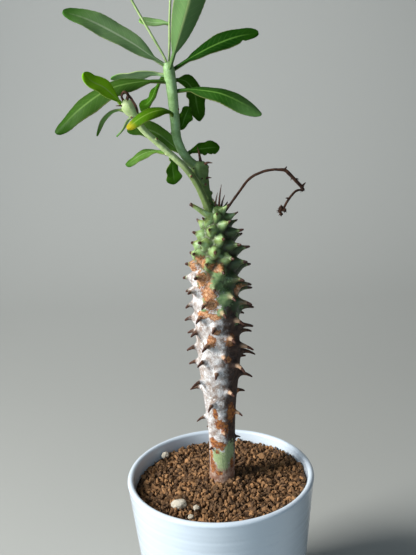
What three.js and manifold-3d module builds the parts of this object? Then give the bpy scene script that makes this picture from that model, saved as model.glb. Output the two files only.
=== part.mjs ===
// A potted Euphorbia longituberculosa: a hooked succulent stem in a white glazed pot of brown grit, with
// two shoots, a rosette of wavy leaves, two green flower stalks and one dry stalk left from an older bloom.
// Millimetres, +Z up. The origin is the middle of the flat underside of the pot, and -Y is the front.

import * as THREE from "three";
import { mergeVertices } from "three/addons/utils/BufferGeometryUtils.js";
import Module from "manifold-3d";

const wasm = await Module();
wasm.setup();

// Clearance between two pieces that touch on the real plant.
const GAP = 0.3;

// Pot
const POT_HEIGHT = 85;
const POT_RIM_RADIUS = 45;
const POT_FOOT_RADIUS = 37;
const POT_FOOT_ROUNDING = 1.6;
const POT_WALL = 3;
const POT_FLOOR = 4;
const POT_FLOOR_CHAMFER = 2;
const POT_SIDES = 40;
const LIP_ARC_STEP = 45;
const DRAIN_HOLES = 6;
const DRAIN_HOLE_RADIUS = 3.5;
const DRAIN_RING_RADIUS = 22;
const DRAIN_HOLE_SIDES = 12;

// Soil
const SOIL_LEVEL = 79.9;
const SOIL_TILT = 0.04;
const MOUND_HEIGHT = 3.6;
const MOUND_RADIUS = 17;
const GRAIN_SPACING = 2.8;
const GRAIN_RISE = 1.2;
const GRAIN_GAP_DEPTH = 0.45;
const GRAIN_SHIFT = 0.4;
const GRAIN_SEED = 11;
// The lowest grain top as a share of the full rise.
const LEAST_RISE = 0.4;

// White pumice stones on the soil: place of the middle, and the three half sizes.
const PUMICE_SUNK = 0.35;
const PUMICE_ROUGHNESS = 0.2;
const PUMICE_SEED = 31;
const PUMICE_STONES = [
  { x: -19.8, y: -20.0, size: [4.0, 3.0, 2.6], turn: 12 },
  { x: -11.8, y: -23.8, size: [1.7, 1.5, 1.3], turn: 50 },
  { x: -14.4, y: -30.6, size: [1.5, 1.2, 1.2], turn: 0 },
  { x: -28.0, y: 27.4, size: [2.2, 1.9, 1.9], turn: 30 },
];

// Stem core from the root to the apex: height, how far the middle leans along X, radius.
const STEM_SIDES = 12;
const STEM_STATIONS = [
  { z: 40, x: 0.0, r: 1.6 },
  { z: 48, x: 0.1, r: 4.2 },
  { z: 60, x: 0.3, r: 6.4 },
  { z: 72, x: 0.5, r: 6.5 },
  { z: 81.4, x: 0.7, r: 6.1 },
  { z: 99, x: 1.4, r: 6.15 },
  { z: 112.5, x: 1.5, r: 6.6 },
  { z: 122.9, x: 1.4, r: 7.5 },
  { z: 133.2, x: 1.6, r: 8.6 },
  { z: 143.3, x: 1.8, r: 9.6 },
  { z: 160, x: 1.5, r: 10.0 },
  { z: 174, x: 1.4, r: 10.2 },
  { z: 186.9, x: 1.5, r: 9.6 },
  { z: 194, x: 1.7, r: 8.4 },
  { z: 200.8, x: 2.2, r: 7.0 },
  { z: 206.5, x: 2.7, r: 5.8 },
  { z: 212.1, x: 3.3, r: 4.4 },
  { z: 215.4, x: 3.4, r: 3.0 },
  { z: 216.6, x: 3.4, r: 1.4 },
];

// Tubercles stand on one spiral from the apex down, each turned by the golden angle from the last. The
// counts say how many fall between one height and the next.
const TUBERCLE_ANGLE = -137.25;
const TUBERCLE_PHASE = 168;
const TUBERCLE_HEIGHTS = [216, 205, 190, 174, 158, 140, 123, 100, 80];
const TUBERCLE_COUNTS = [14.4, 23.8, 17.8, 16.6, 16.7, 7.8, 7.6, 2.2];
const TUBERCLE_SIDES = 4;
const TUBERCLE_ROOT = 1.6;
// Sections of a tubercle from its root to its tip: share of its length, and size as a share of the foot.
const TUBERCLE_ROOT_SIZE = 1.35;
const TUBERCLE_SECTIONS = [
  { share: 0.38, size: 0.52 },
  { share: 0.74, size: 0.27 },
  { share: 1, size: 0 },
];
const TUBERCLE_LENGTH_SPREAD = 0.3;
const TUBERCLE_SEED = 5;
// How a tubercle changes with height: half width, half height, length, rise of the tip and bend of the tip.
// The lowest ones are worn down to stubs.
const TUBERCLE_STAGES = [
  { z: 104, width: 1.5, height: 1.4, length: 1.8, rise: 0.3, bend: -0.5 },
  { z: 112, width: 1.6, height: 1.5, length: 4.4, rise: 0.4, bend: -1.5 },
  { z: 125, width: 1.8, height: 1.7, length: 4.8, rise: 0.6, bend: -1.9 },
  { z: 158, width: 2.2, height: 2.0, length: 5.2, rise: 0.8, bend: -1.4 },
  { z: 178, width: 2.8, height: 2.5, length: 5.3, rise: 0.9, bend: -0.5 },
  { z: 192, width: 3.1, height: 2.8, length: 5.0, rise: 0.9, bend: 0.3 },
  { z: 204, width: 2.9, height: 2.6, length: 4.4, rise: 1.2, bend: 0.6 },
  { z: 211, width: 2.3, height: 2.1, length: 3.6, rise: 1.8, bend: 0.9 },
  { z: 216, width: 1.4, height: 1.3, length: 2.2, rise: 2.4, bend: 0.8 },
];

// Dry spikes at the apex, and the long pale one at its left: foot, tip and radius at the foot. The tip is
// blunt, with a share of the foot's radius.
const SPIKE_SIDES = 4;
const SPIKE_TIP_SHARE = 0.3;
const APEX_SPIKES = [
  { foot: [2.5, -1, 213.5], tip: [4.1, -2, 222.5], radius: 0.8 },
  { foot: [4.3, -1, 214], tip: [5.9, -2, 226], radius: 0.8 },
  { foot: [5.0, 0, 213.5], tip: [7.3, 0, 221], radius: 0.8 },
  { foot: [2.4, -4.2, 209.8], tip: [-8.0, -5.2, 218.8], radius: 1.1 },
];

// Shoots: points along the middle line, with the radius at each.
const SHOOT_SIDES = 8;
const SHOOT_STEPS = 14;
const OLD_SHOOT_STEPS = 8;
const NEW_SHOOT_STEPS = 10;
const LEFT_SHOOT = [
  { at: [1.0, -1.6, 211.0], r: 1.6 },
  { at: [-0.7, -1.8, 216.4], r: 1.6 },
  { at: [-4.3, -2.6, 226.0], r: 1.5 },
  { at: [-9.0, -3.4, 233.8], r: 1.45 },
  { at: [-17.6, -4.4, 242.8], r: 1.4 },
  { at: [-26.5, -5.8, 252.1], r: 1.5 },
  { at: [-28.8, -6.5, 257.0], r: 1.8 },
  { at: [-30.0, -6.8, 259.3], r: 2.7 },
  { at: [-31.4, -7.1, 261.3], r: 3.0 },
  { at: [-32.5, -7.4, 263.0], r: 2.4 },
  { at: [-33.1, -7.5, 264.3], r: 1.2 },
];
const OLD_SHOOT = [
  { at: [1.8, 2.0, 211.0], r: 1.4 },
  { at: [1.0, 2.0, 215.8], r: 1.4 },
  { at: [0.2, 2.0, 219.6], r: 1.5 },
  { at: [-1.1, 2.0, 223.3], r: 2.0 },
  { at: [-2.2, 2.0, 227.6], r: 2.7 },
  { at: [-3.1, 1.8, 231.6], r: 3.6 },
  { at: [-3.2, 1.6, 234.4], r: 3.4 },
  { at: [-3.1, 1.6, 236.0], r: 1.9 },
];
const NEW_SHOOT = [
  { at: [-3.4, 1.4, 232.4], r: 1.6 },
  { at: [-5.4, 1.2, 234.4], r: 2.0 },
  { at: [-7.7, 0.8, 236.8], r: 1.95 },
  { at: [-10.4, 0.2, 241.1], r: 1.9 },
  { at: [-12.2, 0, 246.7], r: 1.95 },
  { at: [-12.7, 0, 254.2], r: 2.1 },
  { at: [-13.2, 0, 266.8], r: 2.3 },
  { at: [-14.1, 0, 275.5], r: 2.4 },
  { at: [-14.4, 0, 278.2], r: 1.8 },
];
// Stubs of fallen leaves and dry spikes on the shoots: foot, tip and radius at the foot.
const OLD_SHOOT_SPIKES = [
  { foot: [-2.6, 1.2, 235.5], tip: [-3.7, -0.6, 242.5], radius: 0.7 },
  { foot: [-1.6, 1.0, 234.2], tip: [2.4, -2.4, 235.6], radius: 0.9 },
  { foot: [-1.4, 0.8, 228.0], tip: [1.8, -0.4, 228.8], radius: 0.8 },
  { foot: [-2.2, 0.5, 228.5], tip: [-2.6, -2.2, 228.6], radius: 0.8 },
  { foot: [-3.6, 0.8, 232.5], tip: [-6.3, -1.4, 233.2], radius: 0.8 },
  { foot: [-2.0, 3.0, 231.0], tip: [-1.2, 6.2, 232.0], radius: 0.9 },
];
const BUD_SPIKES = [
  { foot: [-31.4, -8.0, 260.6], tip: [-36.4, -9.6, 262.2], radius: 0.7 },
  { foot: [-30.6, -6.0, 260.0], tip: [-29.8, -2.8, 261.8], radius: 0.7 },
];
// Dry curls on the bud of the left shoot.
const CURL_RADIUS = 0.5;
const CURL_SIDES = 5;
const CURL_STEPS = 9;
const BUD_CURLS = [
  [
    [-32.6, -7.6, 262.4],
    [-33.8, -8.2, 266.0],
    [-32.6, -8.4, 267.6],
    [-31.2, -8.4, 266.2],
    [-32.2, -7.8, 263.0],
  ],
  [
    [-32.2, -7.2, 262.6],
    [-31.2, -7.4, 266.0],
    [-29.2, -8.2, 263.4],
    [-28.0, -8.4, 260.4],
    [-28.4, -7.2, 257.8],
  ],
];

// Dry flower stalk that arches to the right, its spurs, and the shrivelled cluster at its end.
const OLD_STALK_RADIUS = 0.6;
const OLD_STALK_SIDES = 5;
const OLD_STALK_STEPS = 16;
const OLD_STALK_RETURN_STEPS = 7;
const OLD_STALK_ARCH = [
  [4.4, -0.4, 210.5],
  [8.0, -1, 215.0],
  [13.4, -2, 222.3],
  [18.5, -3.5, 228.6],
  [25.2, -4.5, 231.5],
  [31.4, -5, 231.3],
  [35.4, -5, 229.2],
  [40.6, -5, 223.4],
];
const OLD_STALK_RETURN = [
  [40.9, -5.2, 222.6],
  [38.0, -6, 222.6],
  [34.6, -6.5, 219.2],
  [31.8, -6.5, 214.6],
];
const OLD_STALK_SPURS = [
  { foot: [31.0, -5, 231.2], tip: [34.2, -4.6, 233.0], radius: 0.6 },
  { foot: [40.4, -5, 223.6], tip: [42.6, -4.2, 226.0], radius: 0.6 },
  { foot: [34.4, -6.5, 219.2], tip: [32.4, -7.4, 217.8], radius: 0.6 },
];
const KNOT_SEED = 9;
const KNOT_ROUGHNESS = 0.3;
const OLD_STALK_KNOTS = [
  { at: [40.5, -5.2, 222.8], r: 1.2 },
  { at: [31.0, -6.5, 214.6], r: 1.5 },
  { at: [32.6, -6.9, 213.3], r: 1.3 },
  { at: [30.6, -6.2, 212.6], r: 1.3 },
  { at: [31.8, -6.6, 211.2], r: 1.1 },
];

// Green flower stalks, each with small bracts along it: middle line, then the bracts.
const STALK_RADIUS = 0.5;
const STALK_SIDES = 5;
const STALK_STEPS = 8;
const FRONT_STALK = [
  [-14.6, 0.9, 276.6],
  [-15.2, 1.1, 279.0],
  [-20.9, 2.4, 290.0],
  [-28.0, 4.2, 303.5],
  [-32.6, 6, 313.0],
];
const FRONT_STALK_BRACTS = [
  { midrib: [[-29.0, 4.4, 305.4], [-33.4, 4.0, 305.6], [-38.0, 3.0, 306.4]], width: 5 },
  { midrib: [[-32.4, 5.9, 312.6], [-35.0, 5.4, 315.2], [-36.6, 4.6, 319.0]], width: 4.4 },
  { midrib: [[-32.4, 5.9, 312.6], [-31.2, 7.0, 316.2], [-31.4, 7.6, 320.0]], width: 4.4 },
];
const BACK_STALK = [
  [-14.0, 1.0, 276.6],
  [-13.8, 2.6, 279.4],
  [-13.4, 8, 286.0],
  [-13.1, 14, 294.4],
  [-12.2, 19, 305.0],
];
const BACK_STALK_BRACTS = [
  { midrib: [[-13.1, 13.8, 294.0], [-19.8, 14, 294.2], [-26.0, 13, 295.6]], width: 5.6 },
  { midrib: [[-12.2, 18.8, 304.6], [-14.6, 20.4, 307.4], [-16.4, 21.0, 311.4]], width: 4.4 },
  { midrib: [[-12.2, 18.8, 304.6], [-9.4, 20.2, 307.6], [-7.8, 20.8, 311.6]], width: 4.4 },
];

// Leaves. The midrib runs from inside the shoot to the tip. The face is where the upper side looks, the
// twist turns it from base to tip, and the fold lifts the two halves (negative lets them hang). The waves
// lift the edges, the lobes cut into them, and the fullness says how near the tip the leaf is widest.
const LEAF_THICKNESS = 0.75;
const PETIOLE_THICKNESS = 1.3;
const PETIOLE_WIDTH = 1.7;
const RIB_DEPTH = 0.35;
// A low power gives a blunt round tip.
const LEAF_TIP_POWER = 0.6;
const LEAF_TIP_WIDTH = 1;
// Half a turn or so between the lobes of the two sides, so that they don't match.
const LOBE_OFFSET = 2;
// How far the rows of points crowd towards the tip, from 0 to 1.
const TIP_CROWDING = 0.45;
const LEAF_DEFAULTS = {
  shoot: "leafy", twist: 0, fold: 12, waves: 3, waveHeight: 0.4, lobes: 0, lobeDepth: 0,
  petiole: 0.14, fullness: 0.58, rows: 7,
};
const LEAVES = [
  {
    // Long grey-green leaf to the upper left.
    midrib: [
      [-13.9, -0.2, 276.2], [-21.3, -2, 281.4], [-28.1, -3, 286.5],
      [-45.0, -6, 296.5], [-55.1, -7, 300.3],
    ],
    face: [0.1, -0.8, 0.6], width: 9.8, fold: 10, waveHeight: 0.35, fullness: 0.54, rows: 10,
  },
  {
    // Upright folded leaf at the top.
    midrib: [
      [-13.8, -0.6, 275.4], [-11.0, -5, 282.9], [-7.5, -9, 292.1],
      [-0.5, -12.5, 312.4], [2.6, -12, 323.2],
    ],
    face: [0.0, 0.99, 0.1], width: 12.6, fold: 30, waveHeight: 0.4, fullness: 0.6, rows: 10,
  },
  {
    // Long leaf to the right, and a small notch near its tip.
    midrib: [
      [-13.6, 0.2, 274.8], [-9.5, 0.8, 277.0], [-4.3, 1, 279.8],
      [5.0, 2, 284.0], [14.3, 2, 287.0], [23.8, 1, 288.4],
    ],
    face: [-0.2, -0.75, 0.62], width: 8.4, fold: 8, waves: 4, waveHeight: 0.5, lobes: 3,
    lobeDepth: 0.06, fullness: 0.54, petiole: 0.2, rows: 10,
  },
  {
    // Long leaf that arches down to the left.
    midrib: [
      [-13.4, -0.3, 270.6], [-23.4, -2.5, 271.2], [-38.3, -5, 269.1],
      [-50.9, -6, 262.0], [-62.9, -6, 251.8],
    ],
    face: [-0.2, -0.72, 0.66], width: 10, fold: -14, waveHeight: 0.4, rows: 10,
  },
  {
    // Leaf behind it, seen edge on.
    midrib: [
      [-13.9, 0.0, 273.6], [-22.3, 2.8, 274.0],
      [-30, 6.4, 272.6], [-39.4, 9, 272.2],
    ],
    face: [-0.05, 0.3, 0.95], width: 8.0, fold: 6,
  },
  {
    // Leaf to the right with a raised ridge.
    midrib: [
      [-13.1, -0.3, 266.4], [-7.5, -1.6, 267.0], [-1.9, -3, 266.6],
      [7.2, -5, 264.9], [16.1, -6, 260.6], [23.9, -6.5, 255.7],
    ],
    face: [0.25, -0.72, 0.65], width: 8.6, fold: -16, waves: 2, waveHeight: 0.35, petiole: 0.18, rows: 10,
  },
  {
    // Dark lobed leaf that hangs behind the shoot.
    midrib: [
      [-13.4, 0.6, 270.2], [-10.4, 3.2, 270.8], [-6.9, 6, 269.3],
      [-4.1, 9, 264.8], [-3.1, 11, 259.0], [-1.8, 12, 251.9],
    ],
    face: [0.55, -0.8, 0.25], width: 9.6, fold: 8, waves: 3, waveHeight: 0.7, lobes: 3,
    lobeDepth: 0.2, rows: 10,
  },
  {
    // Narrow leaf that hangs to the left.
    midrib: [
      [-13.4, 0.6, 272.0], [-17.0, 2.6, 272.2], [-20.1, 4, 268.0],
      [-22.4, 6, 263.3], [-24.8, 7.4, 260.8], [-28.1, 8, 260.0],
    ],
    face: [-0.45, -0.75, 0.5], width: 6.6, fold: 6, twist: 20, waves: 2, waveHeight: 0.5,
    lobes: 2, lobeDepth: 0.12,
    fullness: 0.7,
  },
  {
    // Small dark lobed leaf low on the shoot.
    midrib: [
      [-12.0, 0.4, 250.6], [-9.8, 3.2, 251.4],
      [-8.6, 4.4, 254.6], [-6.3, 4.8, 259.0],
    ],
    face: [0.2, -0.93, 0.3], width: 6, fold: 8, waveHeight: 0.5, lobes: 2, lobeDepth: 0.2, rows: 10,
  },
  {
    // Bright young leaf with a slim petiole.
    midrib: [
      [-12.4, -0.6, 255.0], [-13.6, -3.2, 257.6], [-16.9, -6.4, 259.5],
      [-21.5, -9.4, 259.1], [-26.3, -11.4, 257.2], [-32.4, -12.4, 253.1],
    ],
    face: [-0.1, -0.75, 0.65], width: 5.8, fold: -12, waves: 2, waveHeight: 0.3,
  },
  {
    // Broad leaf low on the left.
    midrib: [
      [-7.4, 1.0, 237.6], [-11.2, 2.4, 240.2], [-15.1, 3.6, 243.8],
      [-20.8, 4.4, 248.4], [-27.2, 5, 250.8], [-33.8, 5, 250.3],
    ],
    face: [0.3, -0.78, 0.55], width: 8.2, fold: 8,
  },
  {
    // Leaf low on the right with a scalloped edge.
    midrib: [
      [-8.2, 0.8, 239.8], [-6.2, 4.2, 240.2],
      [-2.2, 6.2, 240.6], [6.0, 7.4, 240.9],
    ],
    face: [0.05, -0.8, 0.6], width: 5.8, fold: 6, waveHeight: 0.5, lobes: 4,
    lobeDepth: 0.12, petiole: 0.12, rows: 10,
  },
  {
    // Pale leaf on the left shoot.
    midrib: [
      [-17.6, -3.9, 241.6], [-22.0, -1.6, 241.8],
      [-26.6, 0.4, 240.8], [-35.2, 2, 235.7],
    ],
    shoot: "left", face: [0, -0.62, 0.78], width: 5.2, fold: -10, waves: 2, waveHeight: 0.4,
  },
  {
    // Hanging toothed leaf.
    midrib: [
      [-14.8, -3.2, 238.2], [-14.6, -0.6, 236.6],
      [-14.8, 2, 232.4], [-14.5, 3, 226.0],
    ],
    shoot: "left", face: [0.1, -0.9, 0.3], width: 6.6, fold: 8, waves: 2, lobes: 2.5,
    lobeDepth: 0.16, fullness: 0.7, rows: 10,
  },
  {
    // Yellow-green leaf on the bud.
    midrib: [
      [-32.8, -7.6, 261.6], [-36.6, -9.4, 266.0], [-40.6, -11, 270.1],
      [-44.9, -13, 272.8], [-47.8, -14, 276.3],
    ],
    shoot: "left", face: [0.35, -0.75, 0.55], width: 7.4, fold: 8, waves: 2, waveHeight: 0.4,
  },
  {
    // Slim pale leaf under the bud.
    midrib: [
      [-31.6, -6.4, 260.4], [-36.0, -4.2, 260.4], [-39.6, -3, 259.0],
      [-43.3, -2, 255.5], [-46.4, -1.2, 249.4],
    ],
    shoot: "left", face: [-0.55, 0.35, 0.75], width: 3.6, fold: 6, waves: 1, waveHeight: 0.2,
  },
  {
    // Slimmer leaf below it.
    midrib: [
      [-30.0, -6.6, 258.6], [-32.6, -5.0, 255.6],
      [-34.6, -4.4, 252.4], [-37.8, -4, 249.2],
    ],
    shoot: "left", face: [-0.7, 0.1, 0.7], width: 3.4, fold: 4, waves: 1, waveHeight: 0.2, rows: 9,
  },
];

// Bracts are small leaves on the flower stalks, all of one shape.
const BRACT_SHAPE = { face: [0, -0.6, 0.8], petiole: 0.1, waves: 1, waveHeight: 0.2, rows: 5 };

// Materials
const finish = (color, roughness) => new THREE.MeshStandardMaterial({ color, roughness, metalness: 0 });
const GLAZE = finish(0xf4f5f3, 0.28);
const GRIT = finish(0x7a4a2c, 0.95);
const PUMICE = finish(0xcfc9bb, 0.95);
const BARK = finish(0x9aa07e, 0.75);
const SHOOT_GREEN = finish(0x9ccb8e, 0.6);
const DRY = finish(0x4a2c1e, 0.85);
const STALK_GREEN = finish(0x8fc46f, 0.6);
const LEAF_GREEN = finish(0x4f8a3c, 0.55);

const radians = THREE.MathUtils.degToRad;
const vector = ([x, y, z]) => new THREE.Vector3(x, y, z);

// A seeded source of numbers from 0 to 1, so that every build gives the same part.
function randomFrom(seed) {
  let state = seed;
  return () => {
    state = (state * 1664525 + 1013904223) % 4294967296;
    return state / 4294967296;
  };
}

// Turns a closed geometry into a solid that can be joined and cut.
function solidOf(geometry) {
  const bare = geometry.clone();
  bare.deleteAttribute("normal");
  bare.deleteAttribute("uv");
  const merged = mergeVertices(bare, 1e-4);
  return new wasm.Manifold(
    new wasm.Mesh({
      numProp: 3,
      vertProperties: new Float32Array(merged.attributes.position.array),
      triVerts: new Uint32Array(merged.index.array),
    }),
  );
}

// The largest body of a solid, without the loose scraps that a cut can leave.
function mainBody(solid) {
  const bodies = solid.decompose();
  return bodies.reduce((best, body) => (body.volume() > best.volume() ? body : best));
}

function joined(solids) {
  return solids.reduce((sum, solid) => sum.add(solid));
}

function meshFrom(name, solid, material) {
  const { vertProperties, triVerts } = mainBody(solid).getMesh();
  const geometry = new THREE.BufferGeometry();
  geometry.setAttribute("position", new THREE.BufferAttribute(new Float32Array(vertProperties), 3));
  geometry.setIndex(new THREE.BufferAttribute(new Uint32Array(triVerts), 1));
  geometry.computeVertexNormals();
  const mesh = new THREE.Mesh(geometry, material);
  mesh.name = name;
  return mesh;
}

function geometryFrom(points, faces) {
  const geometry = new THREE.BufferGeometry();
  const numbers = points.flatMap((point) => [point.x, point.y, point.z]);
  geometry.setAttribute("position", new THREE.Float32BufferAttribute(numbers, 3));
  geometry.setIndex(faces.flat());
  return geometry;
}

// A closed skin over rings of points, each ring counter-clockwise as seen from the end of the row.
function loft(rings) {
  const sides = rings[0].length;
  const points = rings.flat();
  const faces = [];
  for (let row = 0; row + 1 < rings.length; row += 1) {
    for (let i = 0; i < sides; i += 1) {
      const a = row * sides + i;
      const b = row * sides + ((i + 1) % sides);
      faces.push([a, b, b + sides], [a, b + sides, a + sides]);
    }
  }
  const centreOf = (ring) => ring.reduce((sum, p) => sum.add(p), new THREE.Vector3()).divideScalar(sides);
  const first = points.push(centreOf(rings[0])) - 1;
  const last = points.push(centreOf(rings.at(-1))) - 1;
  const lastRow = (rings.length - 1) * sides;
  for (let i = 0; i < sides; i += 1) {
    const next = (i + 1) % sides;
    faces.push([first, next, i], [last, lastRow + i, lastRow + next]);
  }
  return geometryFrom(points, faces);
}

// One ring of points round a centre, spanned by two axes that are square to each other.
function ringAt(centre, across, along, halfWidth, halfHeight, sides) {
  return Array.from({ length: sides }, (_, i) => {
    const angle = (2 * Math.PI * i) / sides;
    return centre
      .clone()
      .addScaledVector(across, halfWidth * Math.cos(angle))
      .addScaledVector(along, halfHeight * Math.sin(angle));
  });
}

// A round limb along a smooth line, as thick at each point as its radius plus the extra.
function limb(stations, sides, steps, extra = 0) {
  const curve = new THREE.CatmullRomCurve3(stations.map((s) => vector(s.at)), false, "centripetal");
  const frames = curve.computeFrenetFrames(steps);
  const rings = [];
  for (let i = 0; i <= steps; i += 1) {
    const place = curve.getUtoTmapping(i / steps) * (stations.length - 1);
    const index = Math.min(Math.floor(place), stations.length - 2);
    const radius = THREE.MathUtils.lerp(stations[index].r, stations[index + 1].r, place - index) + extra;
    const centre = curve.getPointAt(i / steps);
    rings.push(ringAt(centre, frames.normals[i], frames.binormals[i], radius, radius, sides));
  }
  return solidOf(loft(rings));
}

// A round tube of one radius along a smooth line.
function tube(line, radius, sides, steps) {
  const section = new THREE.Shape();
  for (let i = 0; i < sides; i += 1) {
    const angle = (2 * Math.PI * i) / sides;
    const point = [radius * Math.cos(angle), radius * Math.sin(angle)];
    if (i) section.lineTo(...point);
    else section.moveTo(...point);
  }
  const path = new THREE.CatmullRomCurve3(line.map(vector), false, "centripetal");
  return solidOf(new THREE.ExtrudeGeometry(section, { steps, extrudePath: path, bevelEnabled: false }));
}

// A thin straight spike from its foot to its tip.
function spike({ foot, tip, radius }) {
  const start = vector(foot);
  const run = vector(tip).sub(start);
  const cone = new THREE.CylinderGeometry(radius * SPIKE_TIP_SHARE, radius, run.length(), SPIKE_SIDES);
  cone.translate(0, run.length() / 2, 0);
  const turn = new THREE.Quaternion().setFromUnitVectors(new THREE.Vector3(0, 1, 0), run.normalize());
  cone.applyQuaternion(turn);
  cone.translate(start.x, start.y, start.z);
  return solidOf(cone);
}

// A knobbly round lump with the given half sizes.
function lump(at, sizes, detail, roughness, random) {
  const ball = new THREE.IcosahedronGeometry(1, detail);
  ball.deleteAttribute("normal");
  ball.deleteAttribute("uv");
  const merged = mergeVertices(ball, 1e-4);
  const position = merged.attributes.position;
  for (let i = 0; i < position.count; i += 1) {
    const swell = 1 + roughness * (random() - 0.5);
    position.setXYZ(i, position.getX(i) * swell, position.getY(i) * swell, position.getZ(i) * swell);
  }
  merged.scale(...sizes);
  merged.translate(...at);
  return merged;
}

function lathe(profile, sides) {
  const geometry = new THREE.LatheGeometry(profile.map(([r, z]) => new THREE.Vector2(r, z)), sides);
  geometry.rotateX(Math.PI / 2);
  return solidOf(geometry);
}

const potRadiusAt = (z) => THREE.MathUtils.lerp(POT_FOOT_RADIUS, POT_RIM_RADIUS, z / POT_HEIGHT);

function potSolid() {
  const lip = POT_WALL / 2;
  const lipCentre = POT_RIM_RADIUS - lip;
  const profile = [
    [0, 0],
    [POT_FOOT_RADIUS - POT_FOOT_ROUNDING, 0],
    [POT_FOOT_RADIUS - 0.3 * POT_FOOT_ROUNDING, 0.3 * POT_FOOT_ROUNDING],
    [potRadiusAt(POT_FOOT_ROUNDING), POT_FOOT_ROUNDING],
  ];
  for (let angle = 0; angle <= 180; angle += LIP_ARC_STEP) {
    const z = POT_HEIGHT - lip + lip * Math.sin(radians(angle));
    profile.push([lipCentre + lip * Math.cos(radians(angle)), z]);
  }
  const inside = potRadiusAt(POT_FLOOR) - POT_WALL;
  profile.push([inside, POT_FLOOR + POT_FLOOR_CHAMFER]);
  profile.push([inside - POT_FLOOR_CHAMFER, POT_FLOOR]);
  profile.push([0, POT_FLOOR]);
  return Array.from({ length: DRAIN_HOLES }, (_, i) => (360 * i) / DRAIN_HOLES).reduce(
    (pot, angle) => pot.subtract(drainHole(angle)),
    lathe(profile, POT_SIDES),
  );
}

function drainHole(angle) {
  const [radius, length] = [DRAIN_HOLE_RADIUS, 3 * POT_FLOOR];
  const hole = new THREE.CylinderGeometry(radius, radius, length, DRAIN_HOLE_SIDES);
  hole.rotateX(Math.PI / 2);
  hole.translate(DRAIN_RING_RADIUS, 0, 0);
  hole.rotateZ(radians(angle));
  return solidOf(hole);
}

// The soil leans a little to one side and rises in a low mound round the stem.
function soilHeightAt(x, y) {
  const mound = MOUND_HEIGHT * Math.exp(-(x * x + y * y) / MOUND_RADIUS ** 2);
  return SOIL_LEVEL + SOIL_TILT * x + mound;
}

// A block whose top is a bed of grains: every third point of a triangle grid is the top of a grain, and the
// points between are the gaps.
function gritBlock() {
  const random = randomFrom(GRAIN_SEED);
  const rowHeight = GRAIN_SPACING * Math.sqrt(0.75);
  const count = Math.ceil(POT_RIM_RADIUS / rowHeight) * 2;
  const points = [];
  for (let row = 0; row <= count; row += 1) {
    for (let column = 0; column <= count; column += 1) {
      const x = (column - count / 2 + (row % 2) / 2) * GRAIN_SPACING;
      const y = (row - count / 2) * rowHeight;
      const isTop = (column + 2 * row - Math.floor(row / 2)) % 3 === 0;
      const rise = GRAIN_RISE * THREE.MathUtils.lerp(LEAST_RISE, 1, random());
      const lift = isTop ? rise : -GRAIN_GAP_DEPTH * random();
      const shift = () => GRAIN_SHIFT * (2 * random() - 1);
      points.push(new THREE.Vector3(x + shift(), y + shift(), soilHeightAt(x, y) + lift));
    }
  }
  return solidOf(blockUnder(points, count + 1));
}

// Closes a square grid of points into a block that reaches down to the origin's level.
function blockUnder(points, width) {
  const faces = [];
  const at = (row, column) => row * width + column;
  for (let row = 0; row + 1 < width; row += 1) {
    for (let column = 0; column + 1 < width; column += 1) {
      const [a, b] = [at(row, column), at(row, column + 1)];
      const [c, d] = [at(row + 1, column), at(row + 1, column + 1)];
      if (row % 2) faces.push([a, b, d], [a, d, c]);
      else faces.push([a, b, c], [b, d, c]);
    }
  }
  const last = width - 1;
  const edge = [];
  for (let i = 0; i < last; i += 1) edge.push(at(0, i));
  for (let i = 0; i < last; i += 1) edge.push(at(i, last));
  for (let i = last; i > 0; i -= 1) edge.push(at(last, i));
  for (let i = last; i > 0; i -= 1) edge.push(at(i, 0));
  const foot = points.length;
  edge.forEach((index) => points.push(points[index].clone().setZ(0)));
  const middle = points.push(new THREE.Vector3(0, 0, 0)) - 1;
  edge.forEach((index, i) => {
    const next = (i + 1) % edge.length;
    faces.push([index, foot + i, foot + next], [index, foot + next, edge[next]]);
    faces.push([middle, foot + next, foot + i]);
  });
  return geometryFrom(points, faces);
}

function pumiceAt(stone, index, extra = 0) {
  const random = randomFrom(PUMICE_SEED + index);
  const sizes = stone.size.map((half) => half + extra);
  const height = soilHeightAt(stone.x, stone.y) + stone.size[2] * (1 - 2 * PUMICE_SUNK) + GRAIN_RISE / 2;
  const geometry = lump([0, 0, 0], sizes, 1, PUMICE_ROUGHNESS, random);
  geometry.rotateZ(radians(stone.turn));
  geometry.translate(stone.x, stone.y, height);
  return solidOf(geometry);
}

function soilSolid() {
  const bottom = POT_FLOOR + GAP;
  const inner = (z) => potRadiusAt(z) - POT_WALL - 1.5 * GAP;
  const profile = [
    [0, bottom],
    [inner(bottom) - POT_FLOOR_CHAMFER, bottom],
    [inner(bottom), bottom + POT_FLOOR_CHAMFER],
    [inner(POT_HEIGHT), POT_HEIGHT],
    [0, POT_HEIGHT],
  ];
  const bed = lathe(profile, POT_SIDES).intersect(gritBlock()).subtract(stemCore(GAP));
  return PUMICE_STONES.reduce((soil, stone, i) => soil.subtract(pumiceAt(stone, i, GAP)), bed);
}

// The value of a named field of a table at a height, straight between its rows.
function valueAt(table, z, field) {
  if (z <= table[0].z) return table[0][field];
  if (z >= table.at(-1).z) return table.at(-1)[field];
  const upper = table.findIndex((row) => row.z >= z);
  const [low, high] = [table[upper - 1], table[upper]];
  return THREE.MathUtils.mapLinear(z, low.z, high.z, low[field], high[field]);
}

function stemCore(extra = 0) {
  const across = new THREE.Vector3(1, 0, 0);
  const along = new THREE.Vector3(0, 1, 0);
  const rings = STEM_STATIONS.map(({ z, x, r }, row) => {
    const lift = row ? 0 : -extra;
    return ringAt(new THREE.Vector3(x, 0, z + lift), across, along, r + extra, r + extra, STEM_SIDES);
  });
  return solidOf(loft(rings));
}

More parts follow.
